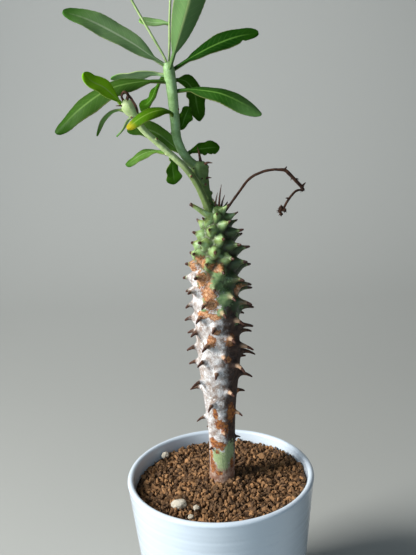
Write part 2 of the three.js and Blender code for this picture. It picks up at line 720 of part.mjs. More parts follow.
// The height of the tubercle with this number, counted from the apex.
function tubercleHeight(number) {
  let below = number;
  for (let band = 0; band < TUBERCLE_COUNTS.length; band += 1) {
    const count = TUBERCLE_COUNTS[band];
    if (below <= count) {
      return THREE.MathUtils.lerp(TUBERCLE_HEIGHTS[band], TUBERCLE_HEIGHTS[band + 1], below / count);
    }
    below -= count;
  }
  return TUBERCLE_HEIGHTS.at(-1);
}

// One tubercle: a broad diamond foot sunk into the stem, drawn out into a slim tip that bends.
function tubercle(number, random) {
  const z = tubercleHeight(number);
  const angle = radians(TUBERCLE_PHASE + TUBERCLE_ANGLE * number);
  const outward = new THREE.Vector3(Math.cos(angle), Math.sin(angle), 0);
  const across = new THREE.Vector3(-Math.sin(angle), Math.cos(angle), 0);
  const up = new THREE.Vector3(0, 0, 1);
  const stage = (field) => valueAt(TUBERCLE_STAGES, z, field);
  const length = stage("length") * (1 + TUBERCLE_LENGTH_SPREAD * (random() - 0.5));
  const foot = new THREE.Vector3(valueAt(STEM_STATIONS, z, "x"), 0, z);
  foot.addScaledVector(outward, valueAt(STEM_STATIONS, z, "r"));
  const ring = ({ share, size }) => {
    const reach = share * length;
    const height = share < 0 ? 0 : share * stage("rise") + share * share * stage("bend");
    const centre = foot.clone().addScaledVector(outward, reach).addScaledVector(up, height);
    return ringAt(centre, across, up, size * stage("width"), size * stage("height"), TUBERCLE_SIDES);
  };
  const root = { share: -TUBERCLE_ROOT / length, size: TUBERCLE_ROOT_SIZE };
  return solidOf(loft([root, ...TUBERCLE_SECTIONS].map(ring)));
}

function stemSolid() {
  const random = randomFrom(TUBERCLE_SEED);
  const total = Math.floor(TUBERCLE_COUNTS.reduce((sum, count) => sum + count));
  const tubercles = Array.from({ length: total }, (_, i) => tubercle(i + 0.5, random));
  const grown = joined([stemCore(), ...tubercles, ...APEX_SPIKES.map(spike)]);
  const stalkSocket = tube(OLD_STALK_ARCH, OLD_STALK_RADIUS + 1.5 * GAP, OLD_STALK_SIDES, OLD_STALK_STEPS);
  const sockets = [leftShoot(GAP), leafyShoot(GAP), stalkSocket];
  return sockets.reduce((stem, socket) => stem.subtract(socket), grown);
}

function leftShoot(extra = 0) {
  return limb(LEFT_SHOOT, SHOOT_SIDES, SHOOT_STEPS, extra);
}

function leafyShoot(extra = 0) {
  const older = limb(OLD_SHOOT, SHOOT_SIDES, OLD_SHOOT_STEPS, extra);
  return older.add(limb(NEW_SHOOT, SHOOT_SIDES, NEW_SHOOT_STEPS, extra));
}

function leftShootSolid() {
  const curls = BUD_CURLS.map((line) => tube(line, CURL_RADIUS, CURL_SIDES, CURL_STEPS));
  return joined([leftShoot(), ...BUD_SPIKES.map(spike), ...curls]);
}

function leafyShootSolid() {
  return joined([leafyShoot(), ...OLD_SHOOT_SPIKES.map(spike)]);
}

function oldStalkSolid() {
  const random = randomFrom(KNOT_SEED);
  const arch = tube(OLD_STALK_ARCH, OLD_STALK_RADIUS, OLD_STALK_SIDES, OLD_STALK_STEPS);
  const back = tube(OLD_STALK_RETURN, OLD_STALK_RADIUS, OLD_STALK_SIDES, OLD_STALK_RETURN_STEPS);
  const knots = OLD_STALK_KNOTS.map(({ at, r }) => solidOf(lump(at, [r, r, r], 0, KNOT_ROUGHNESS, random)));
  return joined([arch, back, ...OLD_STALK_SPURS.map(spike), ...knots]);
}

// Half the width of a blade at a share of its length: a slim petiole, then a long oval with a round tip.
function halfWidthAt(leaf, share) {
  const along = THREE.MathUtils.clamp((share - leaf.petiole) / (1 - leaf.petiole), 0, 1);
  const basePower = (LEAF_TIP_POWER * leaf.fullness) / (1 - leaf.fullness);
  const peak = leaf.fullness ** basePower * (1 - leaf.fullness) ** LEAF_TIP_POWER;
  const oval = (along ** basePower * (1 - along) ** LEAF_TIP_POWER) / peak;
  const least = share > 0.5 ? LEAF_TIP_WIDTH / 2 : PETIOLE_WIDTH / 2;
  return Math.max((leaf.width / 2) * oval, least);
}

// How far the edge of one half reaches out at a share of the length, with its lobes.
function lobedWidthAt(leaf, share, side) {
  const swing = Math.sin(2 * Math.PI * leaf.lobes * share + (side > 0 ? 0 : LOBE_OFFSET));
  return halfWidthAt(leaf, share) * (1 + leaf.lobeDepth * swing);
}

// A leaf as a closed sheet: five points across, with the same split of its squares on both faces.
function bladeGeometry(leaf) {
  const curve = new THREE.CatmullRomCurve3(leaf.midrib.map(vector), false, "centripetal");
  const face = vector(leaf.face);
  const spread = [-1, -0.5, 0, 0.5, 1];
  const slope = Math.tan(radians(leaf.fold));
  const tops = [];
  const undersides = [];
  for (let row = 0; row <= leaf.rows; row += 1) {
    const even = row / leaf.rows;
    const share = THREE.MathUtils.lerp(even, Math.sin((Math.PI / 2) * even), TIP_CROWDING);
    const tangent = curve.getTangentAt(share);
    const upward = face.clone().addScaledVector(tangent, -face.dot(tangent)).normalize();
    upward.applyAxisAngle(tangent, radians(leaf.twist * share));
    const across = new THREE.Vector3().crossVectors(tangent, upward);
    const inBlade = THREE.MathUtils.smoothstep(share, leaf.petiole * 0.6, leaf.petiole * 1.8);
    const squareThickness = THREE.MathUtils.lerp(PETIOLE_THICKNESS, LEAF_THICKNESS, inBlade);
    const thickness = squareThickness / Math.cos(radians(leaf.fold));
    spread.forEach((side) => {
      const reach = Math.abs(side) * lobedWidthAt(leaf, share, side);
      const swing = Math.sin(2 * Math.PI * leaf.waves * share + side);
      const lift = inBlade * (reach * slope + leaf.waveHeight * side * side * swing);
      const top = curve.getPointAt(share);
      top.addScaledVector(across, Math.sign(side) * reach);
      top.addScaledVector(upward, lift);
      const rib = side === 0 ? RIB_DEPTH * (1 - share) : 0;
      tops.push(top);
      undersides.push(top.clone().addScaledVector(upward, -thickness - rib));
    });
  }
  return sheetGeometry(tops, undersides, spread.length);
}

// Closes two like grids of points, one over the other, into one sheet.
function sheetGeometry(tops, undersides, width) {
  const under = tops.length;
  const rows = tops.length / width;
  const faces = [];
  const square = (a, b, c, d) => faces.push([a, b, c], [a, c, d]);
  for (let row = 0; row + 1 < rows; row += 1) {
    for (let column = 0; column + 1 < width; column += 1) {
      const a = row * width + column;
      const [b, c, d] = [a + width, a + width + 1, a + 1];
      faces.push([a, d, c], [a, c, b]);
      faces.push([a + under, c + under, d + under], [a + under, b + under, c + under]);
    }
    const left = row * width;
    const right = left + width - 1;
    square(left, left + width, left + width + under, left + under);
    square(right, right + under, right + width + under, right + width);
  }
  const end = (rows - 1) * width;
  for (let column = 0; column + 1 < width; column += 1) {
    square(column, column + under, column + 1 + under, column + 1);
    square(end + column, end + column + 1, end + column + 1 + under, end + column + under);
  }
  return geometryFrom([...tops, ...undersides], faces);
}

function leafSolid(leaf) {
  const blade = solidOf(bladeGeometry(leaf));
  return blade.subtract(leaf.shoot === "left" ? leftShoot(GAP) : leafyShoot(GAP));
}

function bractSolid({ midrib, width }) {
  return solidOf(bladeGeometry({ ...LEAF_DEFAULTS, ...BRACT_SHAPE, midrib, width }));
}

function stalkSolid(line, bracts) {
  const stalk = tube(line, STALK_RADIUS, STALK_SIDES, STALK_STEPS);
  return joined([stalk, ...bracts.map(bractSolid)]).subtract(leafyShoot(GAP));
}

const plant = new THREE.Group();
plant.add(meshFrom("pot", potSolid(), GLAZE));
plant.add(meshFrom("soil", soilSolid(), GRIT));
PUMICE_STONES.forEach((stone, i) => plant.add(meshFrom(`pumice_${i + 1}`, pumiceAt(stone, i), PUMICE)));
plant.add(meshFrom("stem", stemSolid(), BARK));
plant.add(meshFrom("shoot_left", leftShootSolid(), SHOOT_GREEN));
plant.add(meshFrom("shoot_leafy", leafyShootSolid(), SHOOT_GREEN));
plant.add(meshFrom("old_stalk", oldStalkSolid(), DRY));
plant.add(meshFrom("flower_stalk_front", stalkSolid(FRONT_STALK, FRONT_STALK_BRACTS), STALK_GREEN));
plant.add(meshFrom("flower_stalk_back", stalkSolid(BACK_STALK, BACK_STALK_BRACTS), STALK_GREEN));
LEAVES.forEach((row, i) => {
  const name = `leaf_${String(i + 1).padStart(2, "0")}`;
  plant.add(meshFrom(name, leafSolid({ ...LEAF_DEFAULTS, ...row }), LEAF_GREEN));
});

export default plant;
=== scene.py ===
# A potted Euphorbia longituberculosa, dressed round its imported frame.
# The tables below are in millimetres, with +Z up and the origin in the middle of the pot's underside.

import math

import bpy
import numpy as np
from bpy.props import FloatProperty, FloatVectorProperty, IntProperty, PointerProperty
from mathutils import Euler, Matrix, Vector, noise
from mathutils.geometry import delaunay_2d_cdt


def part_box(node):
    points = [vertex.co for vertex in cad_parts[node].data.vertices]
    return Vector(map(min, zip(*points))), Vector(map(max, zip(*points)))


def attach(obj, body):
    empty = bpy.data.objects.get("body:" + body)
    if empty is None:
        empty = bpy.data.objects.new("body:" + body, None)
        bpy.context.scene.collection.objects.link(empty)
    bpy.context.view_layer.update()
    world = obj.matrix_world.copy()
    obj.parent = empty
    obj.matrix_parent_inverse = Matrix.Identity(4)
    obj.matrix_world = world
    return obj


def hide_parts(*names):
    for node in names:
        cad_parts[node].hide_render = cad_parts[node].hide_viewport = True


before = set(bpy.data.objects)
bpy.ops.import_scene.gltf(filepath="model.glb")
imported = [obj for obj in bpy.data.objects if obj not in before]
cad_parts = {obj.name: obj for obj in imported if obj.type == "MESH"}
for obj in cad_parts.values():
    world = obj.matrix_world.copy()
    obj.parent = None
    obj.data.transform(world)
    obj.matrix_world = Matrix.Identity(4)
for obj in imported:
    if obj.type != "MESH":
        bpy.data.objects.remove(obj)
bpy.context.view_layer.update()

bl_info = {
    "name": "Potted Hooked Euphorbia",
    "version": (1, 0, 0),
    "blender": (4, 5, 0),
    "location": "3D View > Sidebar > Euphorbia",
    "description": "Builds a potted hooked euphorbia, piece by piece, round its frame",
    "category": "Add Mesh",
}

MM = 0.001
POT_LOW, POT_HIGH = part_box("pot")
POT_HEIGHT = POT_HIGH.z / MM
POT_RIM_RADIUS = POT_HIGH.x / MM
POT_FOOT_RADIUS = 37.0
POT_WALL = 3.0
POT_FLOOR = 4.0
DRAIN_HOLES = 6
DRAIN_HOLE_RADIUS = 3.5
DRAIN_HOLE_SIDES = 40
DRAIN_RING_RADIUS = 22.0
# Turn of a hole's corners, in radians.
DRAIN_HOLE_TURN = 0.05
# Radius of the rounded edge under the foot, and of the corner between the wall and the inner floor.
FOOT_ROUNDING = 1.5
INNER_CORNER = 2.0
# The underside is left bare up to this height.
BARE_FOOT_HEIGHT = 0.4

# Soil: a low tilt and a mound round the stem.
SOIL_LEVEL = 79.9
SOIL_TILT = 0.04
MOUND_HEIGHT = 3.6
MOUND_RADIUS = 17.0
BED_DEPTH = 1.6
# How far the bed stays from the pot's wall.
BED_GAP = 0.3
# Two layers of loose grains: their spacing in sizes of a grain, their level against the soil's surface, and
# how far they keep from the stem's axis and from the pot's wall.
LOWER_GRAINS = (0.76, -1.15, 5.4, 1.0)
UPPER_GRAINS = (0.74, -0.1, 6.9, 1.2)

# White pumice stones on the soil: x, y, the three half sizes, turn in degrees.
PUMICE_SUNK = 0.35
PUMICE_STONES = [
    (-19.8, -20.0, (4.0, 3.2, 2.3), 12),
    (-11.8, -23.8, (1.7, 1.5, 1.3), 50),
    (-14.4, -30.6, (1.5, 1.2, 1.2), 0),
    (-28.0, 27.4, (2.2, 1.9, 1.9), 30),
]

# Stem core from the root to the apex: height, lean along X, radius.
STEM_STATIONS = [
    (40, 0.0, 1.6), (48, 0.1, 4.2), (60, 0.3, 6.4), (72, 0.5, 6.5), (81.4, 0.7, 6.1),
    (99, 1.4, 6.15), (112.5, 1.5, 6.6), (122.9, 1.4, 7.5), (133.2, 1.6, 8.6), (143.3, 1.8, 9.6),
    (160, 1.5, 10.0), (174, 1.4, 10.2), (186.9, 1.5, 9.6), (194, 1.7, 8.4), (200.8, 2.2, 7.0),
    (206.5, 2.7, 5.8), (212.1, 3.3, 4.4), (215.4, 3.4, 3.0), (216.6, 3.4, 1.4), (217.0, 3.4, 0.25),
]
# One spiral of tubercles from the apex down, and how many fall between one height and the next.
TUBERCLE_HEIGHTS = [216, 205, 190, 174, 158, 140, 123, 100, 80]
TUBERCLE_COUNTS = [14.4, 23.8, 17.8, 16.6, 16.7, 7.8, 7.6, 2.2]
# Height, half width, half height, length, rise and bend of the tip, and how young the form is.
TUBERCLE_STAGES = [
    (84, 1.6, 1.5, 2.2, 0.3, -0.6, 0.0),
    (104, 1.6, 1.5, 2.8, 0.3, -0.8, 0.0),
    (112, 2.0, 1.9, 5.2, 0.5, -1.7, 0.0),
    (125, 2.3, 2.2, 5.8, 0.8, -2.1, 0.0),
    (135, 2.4, 2.3, 6.0, 0.9, -2.4, 0.0),
    (158, 2.7, 2.6, 5.8, 0.9, -2.2, 0.1),
    (178, 3.0, 2.9, 6.0, 0.9, -1.8, 0.25),
    (188, 3.3, 3.1, 5.8, 0.9, -0.8, 0.75),
    (194, 3.3, 3.1, 5.6, 0.9, -0.3, 1.0),
    (204, 3.1, 2.8, 5.2, 1.2, 0.2, 1.0),
    (211, 2.4, 2.1, 4.0, 1.8, 0.7, 0.9),
    (216, 1.4, 1.3, 2.4, 2.4, 0.8, 0.6),
]
# The share by which the right side's tubercles are longer, and the left side's shorter, at each height.
RIGHT_GROWTH = [(118, -0.1), (134, -0.05), (146, 0.24), (182, 0.26), (194, 0.3), (214, 0.26)]
# How far the skin of a tubercle stands out, from its axis to past its foot: a share of the foot's half
# size, then the reach of a young pillow with a finger, and that of an old slim claw on a low foot.
TUBERCLE_FORM = [
    (0.0, 1.0, 1.0), (0.09, 0.985, 0.985), (0.15, 0.93, 0.94), (0.19, 0.84, 0.85), (0.23, 0.74, 0.71),
    (0.27, 0.655, 0.55), (0.34, 0.565, 0.37), (0.45, 0.47, 0.215), (0.6, 0.365, 0.11), (0.79, 0.22, 0.055),
    (0.97, 0.085, 0.028), (1.2, 0.02, 0.01), (1.5, 0.0, 0.0),
]
# How far the foot of a tubercle reaches below its axis and above it, in its half heights.
FOOT_BELOW, FOOT_ABOVE = 1.5, 0.88
# How deep the skin sinks in a crease between two young tubercles.
CREASE_DEPTH = 0.35
# Dry spikes, here and on the shoots: foot, tip, and radius at the foot.
APEX_SPIKES = [
    ((2.5, -1, 213.5), (4.1, -2, 222.5), 0.6),
    ((4.3, -1, 214), (5.9, -2, 226), 0.6),
    ((5.0, 0, 213.5), (7.3, 0, 221), 0.65),
]
# One long green finger at the left of the apex: x, y, z and radius.
APEX_FINGER = [
    (2.0, -2.6, 211.6, 2.0), (-0.8, -4.0, 213.4, 1.5), (-4.2, -4.8, 216.0, 1.05), (-8.0, -5.2, 218.8, 0.72),
]

# Shoots: points along the middle line, with the radius at each.
LEFT_SHOOT = [
    (1.0, -1.6, 211.0, 1.6), (-0.7, -1.8, 216.4, 1.6), (-4.3, -2.6, 226.0, 1.5),
    (-9.0, -3.4, 233.8, 1.45), (-17.6, -4.4, 242.8, 1.4), (-26.5, -5.8, 252.1, 1.5),
    (-28.8, -6.5, 257.0, 1.8), (-30.0, -6.8, 259.3, 2.7), (-31.4, -7.1, 261.3, 3.0),
    (-32.5, -7.4, 263.0, 2.4), (-33.1, -7.5, 264.3, 1.2),
]
OLD_SHOOT = [
    (1.8, 2.0, 211.0, 1.4), (1.0, 2.0, 215.8, 1.4), (0.2, 2.0, 219.6, 1.5), (-1.1, 2.0, 223.3, 2.0),
    (-2.2, 2.0, 227.6, 2.7), (-3.1, 1.8, 231.6, 3.6), (-3.2, 1.6, 234.4, 3.4), (-3.1, 1.6, 236.0, 1.9),
]
NEW_SHOOT = [
    (-3.4, 1.4, 232.4, 1.6), (-5.4, 1.2, 234.4, 2.0), (-7.7, 0.8, 236.8, 1.95),
    (-10.4, 0.2, 241.1, 1.9), (-12.2, 0, 246.7, 1.95), (-12.7, 0, 254.2, 2.1),
    (-13.2, 0, 266.8, 2.3), (-14.1, 0, 275.5, 2.4), (-14.4, 0, 278.2, 1.8),
]
OLD_SHOOT_SPIKES = [
    ((-2.6, 1.2, 235.5), (-3.7, -0.6, 242.5), 0.7),
    ((-1.6, 1.0, 234.2), (2.4, -2.4, 235.6), 0.9),
    ((-1.4, 0.8, 228.0), (1.8, -0.4, 228.8), 0.8),
    ((-2.2, 0.5, 228.5), (-2.6, -2.2, 228.6), 0.8),
    ((-3.6, 0.8, 232.5), (-6.3, -1.4, 233.2), 0.8),
    ((-2.0, 3.0, 231.0), (-1.2, 6.2, 232.0), 0.9),
]
BUD_SPIKES = [
    ((-31.4, -8.0, 260.6), (-36.4, -9.6, 262.2), 0.7),
    ((-30.6, -6.0, 260.0), (-29.8, -2.8, 261.8), 0.7),
]
BUD_CURLS = [
    [(-32.6, -7.6, 262.4), (-33.8, -8.2, 266.0), (-32.6, -8.4, 267.6), (-31.2, -8.4, 266.2),
     (-32.2, -7.8, 263.0)],
    [(-32.2, -7.2, 262.6), (-31.2, -7.4, 266.0), (-29.2, -8.2, 263.4), (-28.0, -8.4, 260.4),
     (-28.4, -7.2, 257.8)],
]

# The heights round which the skin of a shoot turns from old to young, and half the width of the change.
LEFT_SHOOT_OLD_HEIGHT = 236
LEAFY_SHOOT_OLD_HEIGHT = 237
OLD_SKIN_FADE = 5
CURL_RADIUS = 0.5
# The skins of a shoot are melted together at this fineness.
SHOOT_VOXEL = 0.26

# Dry flower stalk: its arch, the end that turns back, spurs, and the knots of the shrivelled cluster.
OLD_STALK_ARCH = [
    (4.4, -0.4, 210.5), (8.0, -1, 215.0), (13.4, -2, 222.3), (18.5, -3.5, 228.6),
    (25.2, -4.5, 231.5), (30.2, -5, 231.9), (33.4, -5, 231.4), (35.2, -5, 229.7), (40.6, -5, 223.6),
]
OLD_STALK_RADIUS = 0.58
OLD_STALK_THICK_RADIUS = 0.78
OLD_STALK_THICK_FROM_X = 33
OLD_STALK_RETURN_RADIUS = 0.5
OLD_STALK_RETURN = [(40.9, -5.2, 222.6), (38.0, -6, 222.6), (34.6, -6.5, 219.2), (31.8, -6.5, 214.6)]
OLD_STALK_SPURS = [
    ((33.0, -5, 231.2), (34.2, -4.6, 233.0), 0.7),
    ((36.4, -5, 228.6), (35.6, -5.4, 227.0), 0.6),
    ((37.4, -5, 227.4), (39.2, -4.6, 227.2), 0.6),
    ((40.4, -5, 223.6), (42.2, -4.2, 225.6), 0.8),
    ((34.6, -6.5, 219.2), (33.0, -7.2, 219.8), 0.6),
]
OLD_STALK_KNOTS = [
    ((40.6, -5.2, 222.9), 1.3), ((31.2, -6.5, 215.4), 1.4), ((32.6, -6.8, 214.5), 1.2),
    ((30.7, -6.3, 214.1), 1.3), ((31.1, -6.5, 212.8), 1.1),
]
KNOT_SEED = 9
KNOT_THORNS = 6
# The round middle of a knot, as a share of its radius.
KNOT_BALL = 0.68

# Green flower stalks: middle line, then the midrib and width of each bract.
FLOWER_STALK_RADIUS = 0.5
FRONT_STALK = [
    (-14.6, 0.9, 276.6), (-15.2, 1.1, 279.0), (-20.9, 2.4, 290.0), (-28.0, 4.2, 303.5), (-32.6, 6, 313.0),
]
FRONT_BRACTS = [
    ([(-29.0, 4.4, 305.4), (-33.4, 4.0, 305.6), (-38.0, 3.0, 306.4)], 5.0),
    ([(-32.4, 5.9, 312.6), (-35.0, 5.4, 315.2), (-36.6, 4.6, 319.0)], 4.4),
    ([(-32.4, 5.9, 312.6), (-31.2, 7.0, 316.2), (-31.4, 7.6, 320.0)], 4.4),
]
BACK_STALK = [
    (-14.0, 1.0, 276.6), (-13.8, 2.6, 279.4), (-13.4, 8, 286.0), (-13.1, 14, 294.4), (-12.2, 19, 305.0),
]
BACK_BRACTS = [
    ([(-13.1, 13.8, 294.0), (-19.8, 14, 294.2), (-26.0, 13, 295.6)], 5.6),
    ([(-12.2, 18.8, 304.6), (-14.6, 20.4, 307.4), (-16.4, 21.0, 311.4)], 4.4),
    ([(-12.2, 18.8, 304.6), (-9.4, 20.2, 307.6), (-7.8, 20.8, 311.6)], 4.4),
]
BRACT = {"face": (0, -0.6, 0.8), "petiole": 0.1, "waves": 1, "wave": 0.2}

# Leaves: midrib from inside the shoot to the tip, where the upper side looks, and how the blade bends. A
# notch is the share of the length where it lies, the side, and its depth and length as shares.
LEAF_DEFAULTS = {
    "twist": 0, "fold": 12, "waves": 3, "wave": 0.4, "lobes": 0, "lobe_depth": 0, "petiole": 0.14,
    "fullness": 0.58, "notches": [],
}
LEAVES = {
    "leaf_01": {
        "midrib": [(-13.9, -0.2, 276.2), (-21.3, -2, 281.4), (-28.1, -3, 286.5), (-45.0, -6, 296.5),
                   (-55.1, -7, 300.3)],
        "tone": "grey", "face": (0.1, -0.8, 0.6), "width": 9.8, "fold": 10, "wave": 0.35, "fullness": 0.54,
    },
    "leaf_02": {
        "midrib": [(-13.8, -0.6, 275.4), (-11.0, -5, 282.9), (-7.5, -9, 292.1), (-0.5, -12.5, 312.4),
                   (2.6, -12, 323.2)],
        "tone": "upright", "face": (0.0, 0.99, 0.1), "width": 12.6, "fold": 30, "fullness": 0.6,
    },
    "leaf_03": {
        "midrib": [(-13.6, 0.2, 274.8), (-9.5, 0.8, 277.0), (-4.3, 1, 279.8), (5.0, 2, 284.0),
                   (14.3, 2, 287.0), (23.8, 1, 288.4)],
        "tone": "deep", "face": (-0.2, -0.75, 0.62), "width": 8.6, "fold": 8, "waves": 2.4, "lobes": 3,
        "lobe_depth": 0.015, "petiole": 0.2, "notches": [(0.83, 1, 0.3, 0.025)],
    },
    "leaf_04": {
        "midrib": [(-13.4, -0.3, 270.6), (-23.4, -2.5, 271.2), (-38.3, -5, 269.1), (-50.9, -6, 262.0),
                   (-62.9, -6, 251.8)],
        "tone": "arched", "face": (-0.2, -0.72, 0.66), "width": 10, "fold": -16,
    },
    "leaf_05": {
        "midrib": [(-13.9, 0.0, 273.6), (-22.3, 2.8, 274.0), (-30, 6.4, 272.6), (-39.4, 9, 272.2)],
        "tone": "pale", "face": (-0.05, 0.5, 0.87), "width": 8.0, "fold": 6, "wave": 0.15,
    },
    "leaf_06": {
        "midrib": [(-13.1, -0.3, 266.4), (-7.5, -1.6, 267.0), (-1.9, -3, 266.6), (7.2, -5, 264.9),
                   (16.1, -6, 260.6), (23.9, -6.5, 255.7)],
        "tone": "fading", "face": (0.25, -0.72, 0.65), "width": 8.6, "fold": -18, "waves": 2, "wave": 0.35,
        "petiole": 0.18,
    },
    "leaf_07": {
        "midrib": [(-13.4, 0.6, 270.2), (-10.4, 3.2, 270.8), (-6.9, 6, 269.3), (-4.1, 9, 264.8),
                   (-3.1, 11, 259.0), (-1.8, 12, 251.9)],
        "tone": "dark", "face": (0.55, -0.8, 0.25), "width": 9.6, "fold": 8, "wave": 0.7,
        "lobes": 3, "lobe_depth": 0.2,
    },
    "leaf_08": {
        "midrib": [(-13.4, 0.6, 272.0), (-17.0, 2.6, 272.2), (-20.1, 4, 268.0), (-22.4, 6, 263.3),
                   (-24.8, 7.4, 260.8), (-28.1, 8, 260.0)],
        "tone": "dark", "face": (-0.45, -0.75, 0.5), "width": 8.0, "fold": 6, "twist": 20, "waves": 2,
        "wave": 0.5, "lobes": 2, "lobe_depth": 0.08, "fullness": 0.76, "petiole": 0.3,
    },
    "leaf_09": {
        "midrib": [(-12.0, 0.4, 250.6), (-9.8, 3.2, 251.4), (-8.6, 4.4, 254.6), (-6.3, 4.8, 259.0)],
        "tone": "dark", "face": (0.2, -0.93, 0.3), "width": 6, "fold": 8, "wave": 0.5, "lobes": 2,
        "lobe_depth": 0.2,
    },
    "leaf_10": {
        "midrib": [(-12.4, -0.6, 255.0), (-13.6, -3.2, 257.6), (-16.9, -6.4, 259.5), (-21.5, -9.4, 259.1),
                   (-26.3, -11.4, 257.2), (-32.4, -12.4, 253.1)],
        "tone": "bright", "face": (-0.1, -0.75, 0.65), "width": 5.8, "fold": -12, "waves": 2, "wave": 0.3,
    },
    "leaf_11": {
        "midrib": [(-7.4, 1.0, 237.6), (-11.2, 2.4, 240.2), (-15.1, 3.6, 243.8), (-20.8, 4.4, 248.4),
                   (-27.2, 5, 250.8), (-33.8, 5, 250.3)],
        "tone": "mid", "face": (0.3, -0.78, 0.55), "width": 8.2, "fold": 8,
    },
    "leaf_12": {
        "midrib": [(-8.2, 0.8, 239.8), (-6.2, 4.2, 240.2), (-2.2, 6.2, 240.6), (6.0, 7.4, 240.9)],
        "tone": "dark", "face": (0.05, -0.8, 0.6), "width": 6.8, "fold": 6, "lobes": 4, "lobe_depth": 0.04,
        "petiole": 0.16, "fullness": 0.66,
        "notches": [(0.5, 1, 0.18, 0.03), (0.66, 1, 0.2, 0.03), (0.8, 1, 0.18, 0.03)],
    },
    "leaf_13": {
        "midrib": [(-17.6, -3.9, 241.6), (-22.0, -1.6, 241.8), (-26.6, 0.4, 240.8), (-35.2, 2, 235.7)],
        "tone": "mid", "face": (0, -0.62, 0.78), "width": 5.2, "fold": -10, "waves": 2,
    },
    "leaf_14": {
        "midrib": [(-14.8, -3.2, 238.2), (-14.6, -0.6, 236.6), (-14.8, 2, 232.4), (-14.5, 3, 226.0)],
        "tone": "dark", "face": (0.1, -0.9, 0.3), "width": 6.6, "fold": 8, "waves": 2, "lobes": 2.5,
        "lobe_depth": 0.16, "fullness": 0.7,
    },
    "leaf_15": {
        "midrib": [(-32.8, -7.6, 261.6), (-36.6, -9.4, 266.0), (-40.6, -11, 270.1), (-44.9, -13, 272.8),
                   (-47.8, -14, 276.3)],
        "tone": "fresh", "face": (0.35, -0.75, 0.55), "width": 7.4, "fold": 8, "waves": 2,
    },
    "leaf_16": {
        "midrib": [(-31.6, -6.4, 260.4), (-36.0, -4.2, 260.4), (-39.6, -3, 259.0), (-43.3, -2, 255.5),
                   (-46.4, -1.2, 249.4)],
        "tone": "mid", "face": (-0.55, 0.35, 0.75), "width": 3.6, "fold": 6, "waves": 1, "wave": 0.2,
    },
    "leaf_17": {
        "midrib": [(-30.0, -6.6, 258.6), (-32.6, -5.0, 255.6), (-34.6, -4.4, 252.4), (-37.8, -4, 249.2)],
        "tone": "pale", "face": (-0.7, 0.1, 0.7), "width": 3.4, "fold": 4, "waves": 1, "wave": 0.2,
    },
}
# The power that rounds a tip, and the least widths of the outer half and of the inner half of a leaf.
LEAF_TIP_POWER = 0.5
LEAF_TIP_WIDTH = 1.0
PETIOLE_WIDTH = 1.7
PETIOLE_THICKNESS = 1.3
# How far the midrib stands out on the underside, at the base.
RIB_DEPTH = 0.35
# How far the lobes of one side are out of step with the other side's, in radians.
LOBE_OFFSET = 2.0
# How strongly the rows of points are drawn together towards the tip, from 0 to 1.
TIP_CROWDING = 0.45
# Side veins: how many, and how they bend towards the tip.
VEINS = 16
VEIN_LEAN = 0.11
VEIN_BEND = 1.4
# Colours of the leaves: upper side, underside, midrib and tip, and the share of the length where the
# colour of the tip begins.
LEAF_TONES = {
    "grey": ((0.24, 0.42, 0.15), (0.26, 0.4, 0.18), (0.66, 0.78, 0.48), (0.05, 0.15, 0.02), 0.62),
    "deep": ((0.003, 0.04, 0.0003), (0.1, 0.2, 0.05), (0.11, 0.25, 0.04), (0.012, 0.06, 0.002), 0.74),
    "dark": ((0.034, 0.125, 0.002), (0.1, 0.2, 0.05), (0.13, 0.28, 0.05), (0.03, 0.1, 0.003), 0.74),
    "arched": ((0.032, 0.09, 0.009), (0.06, 0.14, 0.03), (0.12, 0.22, 0.05), (0.02, 0.07, 0.004), 0.74),
    "upright": ((0.07, 0.17, 0.02), (0.12, 0.24, 0.08), (0.3, 0.42, 0.16), (0.06, 0.17, 0.02), 0.74),
    "fading": ((0.018, 0.08, 0.006), (0.1, 0.2, 0.05), (0.13, 0.28, 0.05), (0.1, 0.22, 0.06), 0.6),
    "fresh": ((0.27, 0.6, 0.008), (0.22, 0.4, 0.06), (0.4, 0.6, 0.12), (0.17, 0.42, 0.006), 0.66),
    "mid": ((0.1, 0.23, 0.028), (0.18, 0.33, 0.1), (0.25, 0.4, 0.14), (0.06, 0.17, 0.015), 0.74),
    "pale": ((0.17, 0.33, 0.12), (0.26, 0.43, 0.2), (0.36, 0.52, 0.28), (0.12, 0.3, 0.06), 0.74),
    "bright": ((0.065, 0.18, 0.002), (0.16, 0.3, 0.03), (0.2, 0.34, 0.05), (0.42, 0.36, 0.012), 0.88),
    "bract": ((0.24, 0.44, 0.15), (0.34, 0.54, 0.24), (0.42, 0.6, 0.32), (0.24, 0.44, 0.12), 0.74),
}

# The photograph's camera: place, pitch down, yaw and roll in degrees, then the picture's height and the
# focal length in pixels.
CAMERA_PLACE = (-1.54, -364.34, 296.44)
CAMERA_PITCH = 17.215
CAMERA_YAW = -0.03
CAMERA_ROLL = 2.635
IMAGE_HEIGHT = 555
CAMERA_FOCAL_PIXELS = 848
SENSOR_SIZE = 36.0

# Backdrop: a floor that reaches back to a bend, and a wall behind it.
BACKDROP_HALF_WIDTH = 1600
BACKDROP_FRONT = -1500
BACKDROP_BEND_START = 500
BACKDROP_BEND_RADIUS = 500
BACKDROP_HEIGHT = 2200
# How bright the room is where the camera looks past the backdrop.
SEEN_SKY = 0.45


# Settings that a user would change


